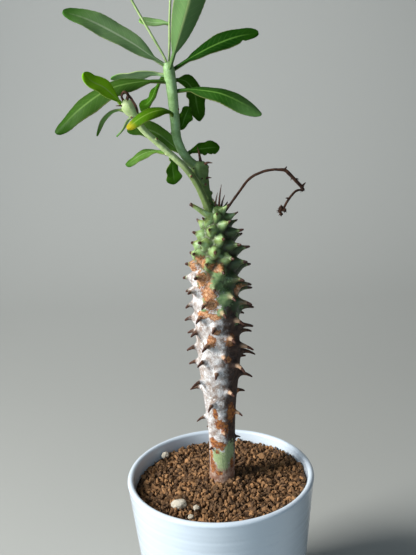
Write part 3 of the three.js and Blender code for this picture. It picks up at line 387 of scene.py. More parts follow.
class PotSettings(bpy.types.PropertyGroup):
    wall: FloatProperty(
        name="Wall", description="Thickness of the wall", default=POT_WALL * MM, unit="LENGTH")
    floor: FloatProperty(
        name="Floor", description="Thickness of the floor", default=POT_FLOOR * MM, unit="LENGTH")
    foot_radius: FloatProperty(
        name="Foot Radius", description="Radius at the underside", default=POT_FOOT_RADIUS * MM,
        unit="LENGTH")
    ring_depth: FloatProperty(
        name="Ring Depth", description="Depth of the throwing rings", default=0.00003, unit="LENGTH")
    # The glaze's pale blue is partly its own tint and partly the blue of the sky-lit shade, painted in.
    glaze: FloatVectorProperty(
        name="Glaze", description="Colour of the white glaze", default=(0.7, 0.8, 0.9), subtype="COLOR")
    bisque: FloatVectorProperty(
        name="Bisque", description="Colour of the bare foot", default=(0.62, 0.55, 0.46), subtype="COLOR")


class SoilSettings(bpy.types.PropertyGroup):
    grain: FloatProperty(name="Grain", description="Typical size of a grain", default=0.0026, unit="LENGTH")
    light: FloatVectorProperty(
        name="Light Grit", description="Palest grains", default=(0.38, 0.195, 0.08), subtype="COLOR")
    dark: FloatVectorProperty(
        name="Dark Grit", description="Darkest grains", default=(0.04, 0.018, 0.008), subtype="COLOR")
    pumice: FloatVectorProperty(
        name="Pumice", description="Colour of the white stones", default=(0.68, 0.65, 0.56), subtype="COLOR")
    seed: IntProperty(name="Seed", description="Start of the random draws for the grains", default=11)


class StemSettings(bpy.types.PropertyGroup):
    angle: FloatProperty(
        name="Spiral Angle", description="Turn from one tubercle to the next, in degrees", default=-137.25)
    phase: FloatProperty(
        name="Spiral Start", description="Angle of the tubercle at the apex, in degrees", default=168.0)
    green: FloatVectorProperty(
        name="Green", description="Young skin", default=(0.36, 0.55, 0.26), subtype="COLOR")
    # Colour of the painted shade in the hollows between young tubercles.
    hollow_shade: FloatVectorProperty(
        name="Deep Green", description="Young skin in the hollows", default=(0.05, 0.11, 0.025),
        subtype="COLOR")
    bark: FloatVectorProperty(
        name="Bark", description="Pale old bark", default=(0.82, 0.82, 0.83), subtype="COLOR")
    rust: FloatVectorProperty(
        name="Rust", description="Orange-brown cork", default=(0.5, 0.19, 0.045), subtype="COLOR")
    tip: FloatVectorProperty(
        name="Tip", description="Dry tips of the tubercles", default=(0.07, 0.025, 0.014), subtype="COLOR")
    seed: IntProperty(name="Seed", description="Start of the random draws for the tubercles", default=5)


class GrowthSettings(bpy.types.PropertyGroup):
    shoot: FloatVectorProperty(
        name="Shoot", description="Green of the shoots", default=(0.19, 0.35, 0.11), subtype="COLOR")
    bloom: FloatVectorProperty(
        name="Bloom", description="Pale bloom on the shoots", default=(0.35, 0.55, 0.26), subtype="COLOR")
    left_shoot: FloatVectorProperty(
        name="Left Shoot", description="Green of the left shoot", default=(0.38, 0.52, 0.2), subtype="COLOR")
    left_bloom: FloatVectorProperty(
        name="Left Bloom", description="Pale green of the left shoot", default=(0.62, 0.76, 0.38),
        subtype="COLOR")
    dry: FloatVectorProperty(
        name="Dry", description="Dry stalks and spikes", default=(0.02, 0.01, 0.007), subtype="COLOR")
    stalk: FloatVectorProperty(
        name="Flower Stalk", description="Thin green stalks", default=(0.26, 0.44, 0.12), subtype="COLOR")
    blade: FloatProperty(
        name="Blade", description="Thickness of a leaf", default=0.00075, unit="LENGTH")


class StageSettings(bpy.types.PropertyGroup):
    floor: FloatVectorProperty(
        name="Floor", description="Colour of the floor and backdrop", default=(0.43, 0.445, 0.43),
        subtype="COLOR")
    key: FloatProperty(name="Key", description="Power of the large light on the left, in watts", default=6.6)
    fill: FloatProperty(name="Fill", description="Power of the cool light in front, in watts", default=2.0)
    back: FloatProperty(name="Back", description="Power of the light on the backdrop, in watts", default=34.0)
    sky: FloatProperty(name="Sky", description="Strength of the even light all round", default=0.13)


# Lines, rings and skins, all in millimetres


def smooth_line(points, count, samples=24):
    """Points and directions spaced evenly along a smooth line through the given points."""
    given = np.array(points, float)
    line = np.vstack([2 * given[0] - given[1], given, 2 * given[-1] - given[-2]])
    gaps = np.maximum(np.linalg.norm(np.diff(line[:, :3], axis=0), axis=1), 1e-6) ** 0.5
    dense = []
    for i in range(1, len(line) - 2):
        before, start, end, after = line[i - 1:i + 3]
        gap0, gap1, gap2 = gaps[i - 1:i + 2]
        leave = ((start - before) / gap0 - (end - before) / (gap0 + gap1) + (end - start) / gap1) * gap1
        arrive = ((end - start) / gap1 - (after - start) / (gap1 + gap2) + (after - end) / gap2) * gap1
        t = np.linspace(0, 1, samples, endpoint=False)[:, None]
        square, cube = t ** 2, t ** 3
        dense.append(
            (2 * cube - 3 * square + 1) * start + (cube - 2 * square + t) * leave
            + (3 * square - 2 * cube) * end + (cube - square) * arrive
        )
    dense = np.vstack([*dense, given[-1:]])
    length = np.append(0, np.cumsum(np.linalg.norm(np.diff(dense[:, :3], axis=0), axis=1)))
    shares = np.linspace(0, 1, count + 1) if np.isscalar(count) else np.asarray(count)
    spots = np.stack([np.interp(shares * length[-1], length, column) for column in dense.T], 1)
    ahead = np.stack([np.interp(shares * length[-1] + 0.02, length, column) for column in dense.T[:3]], 1)
    behind = np.stack([np.interp(shares * length[-1] - 0.02, length, column) for column in dense.T[:3]], 1)
    return spots, normalized(ahead - behind)


def normalized(vectors):
    return vectors / np.maximum(np.linalg.norm(vectors, axis=-1, keepdims=True), 1e-9)


def blend_step(low, high, value):
    share = np.clip((value - low) / (high - low), 0, 1)
    return share * share * (3 - 2 * share)


def skin(rings):
    """Points and faces of a closed skin over rings of points, with a cap on both ends."""
    count, sides = rings.shape[:2]
    grid = np.arange(count * sides).reshape(count, sides)
    a, b = grid[:-1], np.roll(grid, -1, axis=1)[:-1]
    c, d = np.roll(grid, -1, axis=1)[1:], grid[1:]
    faces = np.stack([a, b, c, d], -1).reshape(-1, 4).tolist()
    points = np.vstack([rings.reshape(-1, 3), rings[0].mean(0), rings[-1].mean(0)])
    first, last = count * sides, count * sides + 1
    for i in range(sides):
        following = (i + 1) % sides
        faces.append([first, following, i])
        faces.append([last, grid[-1, i], grid[-1, following]])
    return points, faces


def sweep(stations, sides, steps, ridges=0, ridge_depth=0.0, wobble=0.0, seed=0):
    """A round limb along stations of x, y, z and radius, with soft ends and lengthwise ridges."""
    spots, directions = smooth_line(stations, steps)
    centres, radii = spots[:, :3], spots[:, 3]
    side = normalized(np.cross(directions[0], (0.3, 0.9, 0.2)))
    angles = np.linspace(0, 2 * math.pi, sides, endpoint=False)
    random = np.random.default_rng(seed)
    phase = random.uniform(0, 6.28, 3)
    rings = []
    for i, (centre, direction) in enumerate(zip(centres, directions)):
        side = normalized(side - direction * np.dot(side, direction))
        up = np.cross(direction, side)
        swell = 1 + ridge_depth * np.cos(ridges * angles + phase[0])
        swell = swell + wobble * np.sin(3 * angles + 0.35 * i + phase[1]) * math.sin(0.23 * i + phase[2])
        reach = (radii[i] * swell)[:, None]
        rings.append(centre + reach * (np.cos(angles)[:, None] * side + np.sin(angles)[:, None] * up))
    return skin(np.array(rings))


def thorn(foot, tip, radius, sag=0.12, sides=10, steps=10):
    """A slim dry spike that curves a little from foot to tip."""
    start, end = np.array(foot, float), np.array(tip, float)
    middle = (start + end) / 2 + np.array([0, 0, sag * np.linalg.norm(end - start)])
    line = [(*start, radius), (*middle, radius * 0.55), (*end, radius * 0.16)]
    return sweep(line, sides, steps, ridges=4, ridge_depth=0.1)


def joined(parts):
    """One set of points and faces from several."""
    points, faces = [], []
    total = 0
    for part_points, part_faces in parts:
        points.append(part_points)
        faces.extend([[index + total for index in face] for face in part_faces])
        total += len(part_points)
    return np.vstack(points), faces


def rough_noise(points, scale, seed=0.0):
    """Smooth noise from -1 to 1 at each point, with features of about the given size."""
    shift = Vector((seed, seed * 1.7, seed * 0.6))
    return np.array([noise.noise(Vector(point) / scale + shift) for point in points])


def add_piece(name, points, faces, materials, replaces=(), attributes=None, smooth=True):
    """A finished piece of the plant, which rides on the body and stands for the named nodes."""
    mesh = bpy.data.meshes.new(name)
    mesh.from_pydata((np.asarray(points) * MM).tolist(), [], faces)
    mesh.validate()
    if smooth:
        mesh.shade_smooth()
    for label, values in (attributes or {}).items():
        mesh.attributes.new(label, "FLOAT", "POINT").data.foreach_set("value", np.asarray(values, np.float32))
    piece = bpy.data.objects.new(name, mesh)
    bpy.context.scene.collection.objects.link(piece)
    for material in materials:
        mesh.materials.append(material)
    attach(piece, "root")
    if replaces:
        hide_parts(*replaces)
    return piece


def melted(parts, voxel, rounds):
    """Several closed skins melted into one, with the joints between them rounded off."""
    points, faces = joined(parts)
    mesh = bpy.data.meshes.new("melted")
    mesh.from_pydata(points.tolist(), [], faces)
    rough = bpy.data.objects.new("melted", mesh)
    bpy.context.scene.collection.objects.link(rough)
    remesh = rough.modifiers.new("remesh", "REMESH")
    remesh.mode = "VOXEL"
    remesh.voxel_size = voxel
    relax = rough.modifiers.new("relax", "SMOOTH")
    relax.iterations = rounds
    relax.factor = 0.5
    graph = bpy.context.evaluated_depsgraph_get()
    solid = bpy.data.meshes.new_from_object(rough.evaluated_get(graph))
    smooth_points = np.empty(len(solid.vertices) * 3)
    solid.vertices.foreach_get("co", smooth_points)
    smooth_faces = [list(polygon.vertices) for polygon in solid.polygons]
    bpy.data.objects.remove(rough)
    bpy.data.meshes.remove(mesh)
    bpy.data.meshes.remove(solid)
    return smooth_points.reshape(-1, 3), smooth_faces


# Shader nodes


def add_node(tree, kind, inputs=None, **settings):
    """A node of one kind. An input that is given a socket is linked, and any other is set."""
    node = tree.nodes.new(kind)
    for name, value in settings.items():
        setattr(node, name, value)
    for key, value in (inputs or {}).items():
        if isinstance(value, bpy.types.NodeSocket):
            tree.links.new(value, node.inputs[key])
        else:
            node.inputs[key].default_value = value
    return node


def coordinates(tree):
    return add_node(tree, "ShaderNodeTexCoord").outputs["Object"]


def noise_value(tree, size, detail=4.0, roughness=0.55):
    """Noise with features of about the given size in millimetres."""
    inputs = {
        "Vector": coordinates(tree), "Scale": 1 / (size * MM), "Detail": detail, "Roughness": roughness,
    }
    return add_node(tree, "ShaderNodeTexNoise", inputs).outputs["Fac"]


def math_value(tree, operation, a, b=0.0):
    return add_node(tree, "ShaderNodeMath", {0: a, 1: b}, operation=operation).outputs[0]


def product(tree, a, b):
    return math_value(tree, "MULTIPLY", a, b)


def between(tree, value, low, high, start=0.0, end=1.0):
    """The value taken from one range to another with soft ends."""
    inputs = {"Value": value, "From Min": low, "From Max": high, "To Min": start, "To Max": end}
    return add_node(tree, "ShaderNodeMapRange", inputs, interpolation_type="SMOOTHSTEP").outputs["Result"]


def mixed(tree, share, first, second):
    """The first colour where the share is 0, and the second where it is 1."""
    inputs = {0: share, 6: rgba(first), 7: rgba(second)}
    return add_node(tree, "ShaderNodeMix", inputs, data_type="RGBA").outputs[2]


def rgba(colour):
    if isinstance(colour, bpy.types.NodeSocket):
        return colour
    return (*colour[:3], 1.0)


def attribute(tree, name):
    return add_node(tree, "ShaderNodeAttribute", attribute_name=name).outputs["Fac"]


def bump(tree, height, depth, strength=1.0):
    """A normal bent by a height from 0 to 1 that stands for the given depth in millimetres."""
    inputs = {"Height": height, "Distance": depth * MM, "Strength": strength}
    return add_node(tree, "ShaderNodeBump", inputs).outputs["Normal"]


def new_group(name, inputs, outputs):
    """An empty shader node group with named sockets, and its input and output nodes."""
    group = bpy.data.node_groups.new(name, "ShaderNodeTree")
    for label, kind, default in inputs:
        socket = group.interface.new_socket(name=label, in_out="INPUT", socket_type=f"NodeSocket{kind}")
        socket.default_value = default
    for label, kind in outputs:
        group.interface.new_socket(name=label, in_out="OUTPUT", socket_type=f"NodeSocket{kind}")
    return group, group.nodes.new("NodeGroupInput").outputs, group.nodes.new("NodeGroupOutput").inputs


def use_group(tree, name, **inputs):
    """A group placed in a material, with its values given by name."""
    node = add_node(tree, "ShaderNodeGroup", node_tree=bpy.data.node_groups[name])
    for label, value in inputs.items():
        socket = node.inputs[label.replace("_", " ")]
        if isinstance(value, bpy.types.NodeSocket):
            tree.links.new(value, socket)
        else:
            socket.default_value = rgba(value) if socket.type == "RGBA" else value
    return node.outputs


def mottle_group():
    """Two colours in soft patches, with a finer grain through them."""
    group, given, out = new_group(
        "Mottle",
        [("First", "Color", (1, 1, 1, 1)), ("Second", "Color", (0, 0, 0, 1)), ("Size", "Float", 2.0),
         ("Softness", "Float", 0.5)],
        [("Color", "Color")],
    )
    scale = math_value(group, "DIVIDE", 1000.0, given["Size"])
    spot = add_node(group, "ShaderNodeTexNoise", {
        "Vector": coordinates(group), "Scale": scale, "Detail": 5.0, "Roughness": 0.6}).outputs["Fac"]
    half = product(group, given["Softness"], 0.25)
    low = math_value(group, "SUBTRACT", 0.5, half)
    high = math_value(group, "ADD", 0.5, half)
    mask = between(group, spot, low, high)
    group.links.new(mixed(group, mask, given["First"], given["Second"]), out["Color"])


def speck_group():
    """Small round specks, given as a mask."""
    group, given, out = new_group(
        "Specks", [("Size", "Float", 1.0), ("Share", "Float", 0.2), ("Width", "Float", 0.3)],
        [("Mask", "Float")])
    scale = math_value(group, "DIVIDE", 1000.0, given["Size"])
    cells = add_node(group, "ShaderNodeTexVoronoi", {"Vector": coordinates(group), "Scale": scale})
    near = between(group, cells.outputs["Distance"], given["Width"], 0.0)
    pick = add_node(group, "ShaderNodeSeparateColor", {0: cells.outputs["Color"]}).outputs[0]
    chosen = math_value(group, "LESS_THAN", pick, given["Share"])
    group.links.new(product(group, near, chosen), out["Mask"])


def relief_group():
    """Coarse and fine bumps as one height from 0 to 1."""
    group, given, out = new_group(
        "Relief", [("Coarse", "Float", 2.0), ("Fine", "Float", 0.4), ("Fine Share", "Float", 0.4)],
        [("Height", "Float")])
    heights = []
    for label in ("Coarse", "Fine"):
        scale = math_value(group, "DIVIDE", 1000.0, given[label])
        heights.append(add_node(group, "ShaderNodeTexNoise", {
            "Vector": coordinates(group), "Scale": scale, "Detail": 4.0, "Roughness": 0.6}).outputs["Fac"])
    inputs = {0: given["Fine Share"], 2: heights[0], 3: heights[1]}
    blend = add_node(group, "ShaderNodeMix", inputs, data_type="FLOAT").outputs[0]
    group.links.new(blend, out["Height"])


def make_groups():
    mottle_group()
    speck_group()
    relief_group()


def new_material(name, **sockets):
    """A material with one Principled shader, whose plain values are set on its own sockets."""
    material = bpy.data.materials.new(name)
    material.use_nodes = True
    tree = material.node_tree
    shader = tree.nodes["Principled BSDF"]
    for label, value in sockets.items():
        shader.inputs[label.replace("_", " ")].default_value = value
    return material, tree, shader.inputs


def mottled(tree, first, second, size, softness):
    """Two colours in soft patches of about the given size in millimetres."""
    return use_group(tree, "Mottle", First=first, Second=second, Size=size, Softness=softness)["Color"]


def speck_mask(tree, size, share, width):
    """Round specks in a share of the cells, with the size of a cell in millimetres."""
    return use_group(tree, "Specks", Size=size, Share=share, Width=width)["Mask"]


def relief_height(tree, coarse, fine, fine_share):
    """Coarse and fine bumps of the given sizes in millimetres, as one height from 0 to 1."""
    return use_group(tree, "Relief", Coarse=coarse, Fine=fine, Fine_Share=fine_share)["Height"]


def add_relief(tree, shader, coarse, fine, fine_share, depth, strength=1.0):
    height = relief_height(tree, coarse, fine, fine_share)
    tree.links.new(bump(tree, height, depth, strength), shader["Normal"])


def glaze_material(settings):
    material, tree, shader = new_material("white glaze", Coat_Weight=0.35, Coat_Roughness=0.06)
    # Pale blue glaze: partly its own tint, partly painted blue of the sky-lit shade.
    tint = mottled(tree, settings.glaze, (0.64, 0.74, 0.85), size=26.0, softness=2.2)
    marks = speck_mask(tree, size=5.0, share=0.05, width=0.07)
    tree.links.new(mixed(tree, marks, tint, (0.45, 0.4, 0.34)), shader["Base Color"])
    tree.links.new(between(tree, noise_value(tree, 9.0), 0.3, 0.7, 0.16, 0.27), shader["Roughness"])
    add_relief(tree, shader, coarse=7.0, fine=1.1, fine_share=0.18, depth=0.05, strength=0.5)
    return material


def bisque_material(settings):
    material, tree, shader = new_material("bare fired foot", Roughness=0.85)
    tint = mottled(tree, settings.bisque, (0.5, 0.43, 0.35), size=3.0, softness=1.2)
    tree.links.new(tint, shader["Base Color"])
    add_relief(tree, shader, coarse=1.5, fine=0.3, fine_share=0.6, depth=0.08)
    return material


def grit_material(settings):
    material, tree, shader = new_material("brown clay grit", Roughness=0.9)
    body = mixed(tree, between(tree, attribute(tree, "tone"), 0.0, 1.0), settings.dark, settings.light)
    dust = noise_value(tree, 0.9, detail=6.0, roughness=0.7)
    dusty = mixed(tree, between(tree, dust, 0.42, 0.68), body, mixed(tree, 0.3, body, (0.5, 0.3, 0.14)))
    tree.links.new(dusty, shader["Base Color"])
    add_relief(tree, shader, coarse=0.8, fine=0.22, fine_share=0.5, depth=0.22)
    return material


def pumice_material(settings):
    material, tree, shader = new_material("white pumice", Roughness=0.95)
    tint = mottled(tree, settings.pumice, (0.42, 0.37, 0.28), size=1.6, softness=1.3)
    pores = speck_mask(tree, size=0.55, share=0.55, width=0.32)
    tree.links.new(mixed(tree, pores, tint, (0.3, 0.26, 0.2)), shader["Base Color"])
    relief = relief_height(tree, coarse=0.9, fine=0.25, fine_share=0.5)
    dips = math_value(tree, "SUBTRACT", relief, product(tree, pores, 0.6))
    tree.links.new(bump(tree, dips, 0.3), shader["Normal"])
    return material


def patch_mask(tree, name, size, softness=0.08, spread=1.9):
    """A painted patch with a ragged edge, and how deep inside it each place lies."""
    coarse = math_value(tree, "SUBTRACT", noise_value(tree, size, detail=10.0, roughness=0.8), 0.5)
    depth = math_value(tree, "ADD", attribute(tree, name), product(tree, coarse, spread))
    return between(tree, depth, 0.5 - softness, 0.5 + softness), depth


def bark_colour(tree, settings):
    """Pale mottled bark with fine dark specks."""
    broad = mottled(tree, settings.bark, (0.3, 0.22, 0.175), size=2.8, softness=0.8)
    fine = noise_value(tree, 0.55, detail=6.0, roughness=0.7)
    grained = mixed(tree, between(tree, fine, 0.47, 0.62), broad, mixed(tree, 0.5, broad, (0.16, 0.1, 0.08)))
    chalky = mixed(tree, between(tree, noise_value(tree, 1.8), 0.55, 0.68), grained, (0.88, 0.88, 0.88))
    specks = speck_mask(tree, size=1.2, share=0.45, width=0.2)
    return mixed(tree, specks, chalky, (0.05, 0.03, 0.022))


def young_skin(tree, settings, young, spike):
    """Green skin, with painted shade: deep green in the hollows between tubercles and near black on the side
    away from the light.
    """
    # Painted shade: deep green where the skin sinks between the tubercles.
    deep = product(tree, between(tree, spike, 0.42, 0.04), 0.8)
    fresh = mixed(tree, deep, young, settings.hollow_shade)
    # Painted shade: near black on the side away from the light.
    shaded = product(tree, between(tree, attribute(tree, "dusk"), 0.4, 1.0), 0.8)
    return mixed(tree, shaded, fresh, (0.012, 0.03, 0.008))


def old_skin(tree, settings, height):
    """Pale bark, dark brown on the side away from the light, which is partly the bark's own colour and partly
    painted shade, and earthy near the soil.
    """
    # Dark brown mottle for the side away from the light: the bark's own brown with painted shade.
    dark_bark_and_shade = mottled(tree, (0.1, 0.055, 0.038), (0.035, 0.018, 0.014), size=2.2, softness=0.7)
    dusk, _ = patch_mask(tree, "dusk", 2.8, softness=0.42, spread=1.5)
    barked = mixed(tree, dusk, bark_colour(tree, settings), dark_bark_and_shade)
    earthy = mottled(tree, (0.5, 0.36, 0.28), (0.22, 0.09, 0.05), size=2.2, softness=0.8)
    ragged_height = math_value(tree, "ADD", height, product(tree, noise_value(tree, 1.6), 0.012))
    return mixed(tree, between(tree, ragged_height, 0.1, 0.096), barked, earthy)


def rust_colour(tree, settings, depth, height):
    """Orange-brown cork, dark at the rim of a patch and salmon in its heart, higher up the stem."""
    rusty = mottled(tree, settings.rust, (0.17, 0.05, 0.02), size=1.3, softness=0.5)
    salmon = mottled(tree, (0.72, 0.47, 0.3), settings.rust, size=1.3, softness=0.6)
    heart = product(tree, between(tree, depth, 0.66, 0.9), between(tree, height, 0.13, 0.165))
    flecked = mixed(tree, heart, rusty, salmon)
    rim = product(tree, between(tree, depth, 0.7, 0.5), 0.6)
    return mixed(tree, rim, flecked, (0.2, 0.055, 0.012))


def moss_colour(tree, height):
    """Dark green, and pale green low on the stem."""
    moss = mottled(tree, (0.13, 0.24, 0.09), (0.24, 0.34, 0.15), size=1.5, softness=0.7)
    pale_moss = mottled(tree, (0.3, 0.42, 0.2), (0.42, 0.5, 0.26), size=1.2, softness=0.8)
    return mixed(tree, between(tree, height, 0.128, 0.118), moss, pale_moss)


def hooked_colour(tree, settings, body, young, spike):
    """The body with dry shafts on the old tubercles, flushed ones on the young, and dark tips. Shafts that
    point to the front right are pale with painted highlight, and the rest dark with their own brown and
    painted shade.
    """
    old = attribute(tree, "old")
    # Pale shafts carry painted highlight, dark ones their own brown and painted shade.
    shaft = mixed(tree, attribute(tree, "scorch"), (0.62, 0.42, 0.28), (0.038, 0.016, 0.011))
    rusted = mixed(tree, 0.2, shaft, settings.rust)
    shaft = mixed(tree, between(tree, noise_value(tree, 1.0), 0.4, 0.65), shaft, rusted)
    flushed = mixed(tree, between(tree, noise_value(tree, 1.3), 0.42, 0.6), young, (0.17, 0.085, 0.035))
    body = mixed(tree, between(tree, spike, 0.5, 0.78), body, mixed(tree, old, flushed, shaft))
    woody = product(tree, between(tree, spike, 0.18, 0.4), old)
    body = mixed(tree, woody, body, shaft)
    tip_start = between(tree, old, 0.0, 1.0, 0.74, 0.64)
    return mixed(tree, math_value(tree, "GREATER_THAN", spike, tip_start), body, settings.tip)


def cracked_relief(tree):
    """Coarse and fine bumps, with the fine cracks of the bark between its plates."""
    relief = relief_height(tree, coarse=1.4, fine=0.35, fine_share=0.55)
    inputs = {"Vector": coordinates(tree), "Scale": 1 / (1.5 * MM)}
    plates = add_node(tree, "ShaderNodeTexVoronoi", inputs, feature="DISTANCE_TO_EDGE").outputs["Distance"]
    raised = product(tree, between(tree, plates, 0.0, 0.12), attribute(tree, "cork"))
    return math_value(tree, "ADD", relief, product(tree, raised, 0.5))


def stem_material(settings):
    material, tree, shader = new_material(
        "hooked stem skin", Subsurface_Weight=0.04, Subsurface_Radius=(0.003, 0.002, 0.001))
    spike = attribute(tree, "spike")
    height = add_node(tree, "ShaderNodeSeparateXYZ", {0: coordinates(tree)}).outputs[2]
    young = mottled(tree, settings.green, (0.2, 0.27, 0.06), size=2.4, softness=0.8)
    cork, _ = patch_mask(tree, "cork", 3.0)
    moss, _ = patch_mask(tree, "moss", 1.4, spread=2.8)
    rust, rust_depth = patch_mask(tree, "rust", 1.2, spread=3.2)
    body = mixed(tree, cork, young_skin(tree, settings, young, spike), old_skin(tree, settings, height))
    body = mixed(tree, moss, body, moss_colour(tree, height))
    body = mixed(tree, rust, body, rust_colour(tree, settings, rust_depth, height))
    # Darker brown in the creases between tubercles: partly the skin's own brown, partly painted shade.
    body = mixed(tree, product(tree, attribute(tree, "crease"), 0.8), body, (0.045, 0.03, 0.014))
    tree.links.new(hooked_colour(tree, settings, body, young, spike), shader["Base Color"])
    tree.links.new(between(tree, attribute(tree, "cork"), 0.2, 0.8, 0.4, 0.78), shader["Roughness"])
    tree.links.new(bump(tree, cracked_relief(tree), 0.2, 0.9), shader["Normal"])
    return material


def shoot_material(settings, name, skin_colour, bloom):
    material, tree, shader = new_material(
        name, Subsurface_Weight=0.08, Subsurface_Radius=(0.003, 0.004, 0.001))
    tint = mottled(tree, skin_colour, bloom, size=2.6, softness=0.9)
    aged = mixed(tree, attribute(tree, "aged"), tint, mixed(tree, 0.8, tint, (0.08, 0.135, 0.015)))
    specks = speck_mask(tree, size=0.8, share=0.16, width=0.22)
    dotted = mixed(tree, specks, aged, (0.6, 0.7, 0.45))
    scar, _ = patch_mask(tree, "scar", 0.7, softness=0.1, spread=0.5)
    scarred = mixed(tree, scar, dotted, (0.16, 0.06, 0.03))
    dry = mottled(tree, settings.dry, (0.16, 0.065, 0.03), size=1.2, softness=0.8)
    tree.links.new(mixed(tree, attribute(tree, "dry"), scarred, dry), shader["Base Color"])
    tree.links.new(between(tree, attribute(tree, "dry"), 0.0, 1.0, 0.46, 0.8), shader["Roughness"])
    add_relief(tree, shader, coarse=1.6, fine=0.4, fine_share=0.4, depth=0.12, strength=0.7)
    return material


def dry_material(settings):
    material, tree, shader = new_material("dry stalk", Roughness=0.75, Specular_IOR_Level=0.2)
    tint = mottled(tree, settings.dry, (0.07, 0.03, 0.016), size=1.8, softness=0.8)
    tree.links.new(tint, shader["Base Color"])
    add_relief(tree, shader, coarse=0.9, fine=0.25, fine_share=0.5, depth=0.15)
    return material


def stalk_material(settings):
    material, tree, shader = new_material(
        "green flower stalk", Roughness=0.45, Subsurface_Weight=0.1, Subsurface_Radius=(0.002, 0.003, 0.001))
    tint = mottled(tree, settings.stalk, (0.5, 0.62, 0.3), size=4.0, softness=1.8)
    tree.links.new(tint, shader["Base Color"])
    add_relief(tree, shader, coarse=1.2, fine=0.3, fine_share=0.4, depth=0.05)
    return material


def vein_value(tree, across, along):
    """Side veins that leave the midrib and bend towards the tip, as a mask of thin lines."""
    reach = math_value(tree, "ABSOLUTE", across)
    lean = product(tree, math_value(tree, "POWER", reach, VEIN_BEND), VEIN_LEAN)
    phase = product(tree, math_value(tree, "SUBTRACT", along, lean), 2 * math.pi * VEINS)
    wander = product(tree, noise_value(tree, 5.0), 2.2)
    wave = math_value(tree, "SINE", math_value(tree, "ADD", phase, wander))
    return between(tree, wave, 0.8, 1.0)


def leaf_material(tone):
    upper, under, rib_colour, tip, tip_start = LEAF_TONES[tone]
    material, tree, shader = new_material(
        f"{tone} leaf", Subsurface_Weight=0.12, Specular_IOR_Level=0.05,
        Subsurface_Radius=(0.0012, 0.002, 0.0006))
    across, along = attribute(tree, "across"), attribute(tree, "along")
    reach = math_value(tree, "ABSOLUTE", across)
    veins = vein_value(tree, across, along)
    face = mixed(tree, between(tree, attribute(tree, "upper"), 0.3, 0.7), under, upper)
    patchy = mottled(tree, face, mixed(tree, 0.12, face, rib_colour), size=4.5, softness=1.9)
    veined = mixed(tree, product(tree, veins, 0.13), patchy, rib_colour)
    rib = product(tree, between(tree, reach, 0.13, 0.04), 0.8)
    ribbed = mixed(tree, rib, veined, rib_colour)
    # Painted sheen: the middle of the blade stays lighter and the margins are darkened.
    sheen_falloff = product(tree, between(tree, reach, 0.35, 1.0), 0.35)
    sheen_dimmed = mixed(tree, sheen_falloff, ribbed, mixed(tree, 0.6, face, (0.0, 0.0, 0.0)))
    margin = product(tree, between(tree, reach, 0.93, 1.0), 0.4)
    edged = mixed(tree, margin, sheen_dimmed, mixed(tree, 0.5, rib_colour, (0.6, 0.5, 0.2)))
    ragged = math_value(tree, "ADD", along, product(tree, noise_value(tree, 3.0), 0.12))
    tree.links.new(mixed(tree, between(tree, ragged, tip_start, 1.05), edged, tip), shader["Base Color"])
    tree.links.new(between(tree, noise_value(tree, 2.5), 0.3, 0.7, 0.42, 0.56), shader["Roughness"])
    relief = relief_height(tree, coarse=1.6, fine=0.35, fine_share=0.4)
    height = math_value(tree, "SUBTRACT", relief, product(tree, veins, 0.5))
    tree.links.new(bump(tree, height, 0.07, 0.7), shader["Normal"])
    return material


def stage_material(settings):
    material, tree, shader = new_material("plain backdrop", Roughness=0.95, Base_Color=rgba(settings.floor))
    add_relief(tree, shader, coarse=6.0, fine=1.5, fine_share=0.4, depth=0.05)
    return material


# Pot


def pot_radius(height, foot):
    return foot + (POT_RIM_RADIUS - foot) * height / POT_HEIGHT


def pot_profile(settings):
    """Radius and height round the pot's wall, from the middle of its underside to its inner floor."""
    wall, floor, foot = settings.wall / MM, settings.floor / MM, settings.foot_radius / MM
    lip = wall / 2
    under = [(radius, 0.0) for radius in np.linspace(0.5, foot - 3.4, 12)]
    outer_foot = foot - FOOT_ROUNDING
    foot_arc = [
        (outer_foot + FOOT_ROUNDING * math.sin(a) + 0.03, FOOT_ROUNDING - FOOT_ROUNDING * math.cos(a))
        for a in np.linspace(0, math.pi / 2, 8)
    ]
    outside = [(pot_radius(z, foot), z) for z in np.linspace(1.9, POT_HEIGHT - lip - 0.8, 150)]
    lip_arc = [
        (POT_RIM_RADIUS - lip + lip * math.cos(a), POT_HEIGHT - lip + lip * math.sin(a))
        for a in np.linspace(0, math.pi, 18)
    ]
    inside = [(pot_radius(z, foot) - wall, z) for z in np.linspace(POT_HEIGHT - lip - 1, floor + 3, 60)]
    inner_foot = pot_radius(floor, foot) - wall - INNER_CORNER
    corner = [
        (inner_foot + INNER_CORNER * math.cos(a), floor + INNER_CORNER - INNER_CORNER * math.sin(a))
        for a in np.linspace(0, math.pi / 2, 8)
    ]
    inner_floor = [(radius, floor) for radius in np.linspace(corner[-1][0] - 1, 0.5, 12)]
    return np.array([*under, *foot_arc, *outside, *lip_arc, *inside, *corner, *inner_floor])


def throwing_rings(height, depth):
    """Faint uneven rings left by the potter's fingers."""
    swell = np.sin(height * 1.05 + 1.1 * np.sin(height * 0.19)) + 0.6 * np.sin(height * 2.3 + 2.0)
    return depth * swell * blend_step(4, 9, height) * blend_step(POT_HEIGHT - 2, POT_HEIGHT - 7, height)


def build_pot(settings, sides=144):
    profile = pot_profile(settings)
    radii, heights = profile.T
    rings_depth = throwing_rings(heights, settings.ring_depth / MM)
    angles = np.linspace(0, 2 * math.pi, sides, endpoint=False)
    radii = radii[:, None] + rings_depth[:, None] * (1 + 0.4 * np.sin(angles + heights[:, None] * 0.3))
    radii = np.minimum(radii, POT_RIM_RADIUS)
    levels = np.repeat(heights[:, None], sides, 1)
    points, faces = skin(np.stack([radii * np.cos(angles), radii * np.sin(angles), levels], -1))
    materials = [glaze_material(settings), bisque_material(settings)]
    pot = add_piece("pot_body", points, faces, materials, ["pot"])
    drill_drain_holes(pot)
    for polygon in pot.data.polygons:
        polygon.material_index = int(polygon.center.z < BARE_FOOT_HEIGHT * MM)


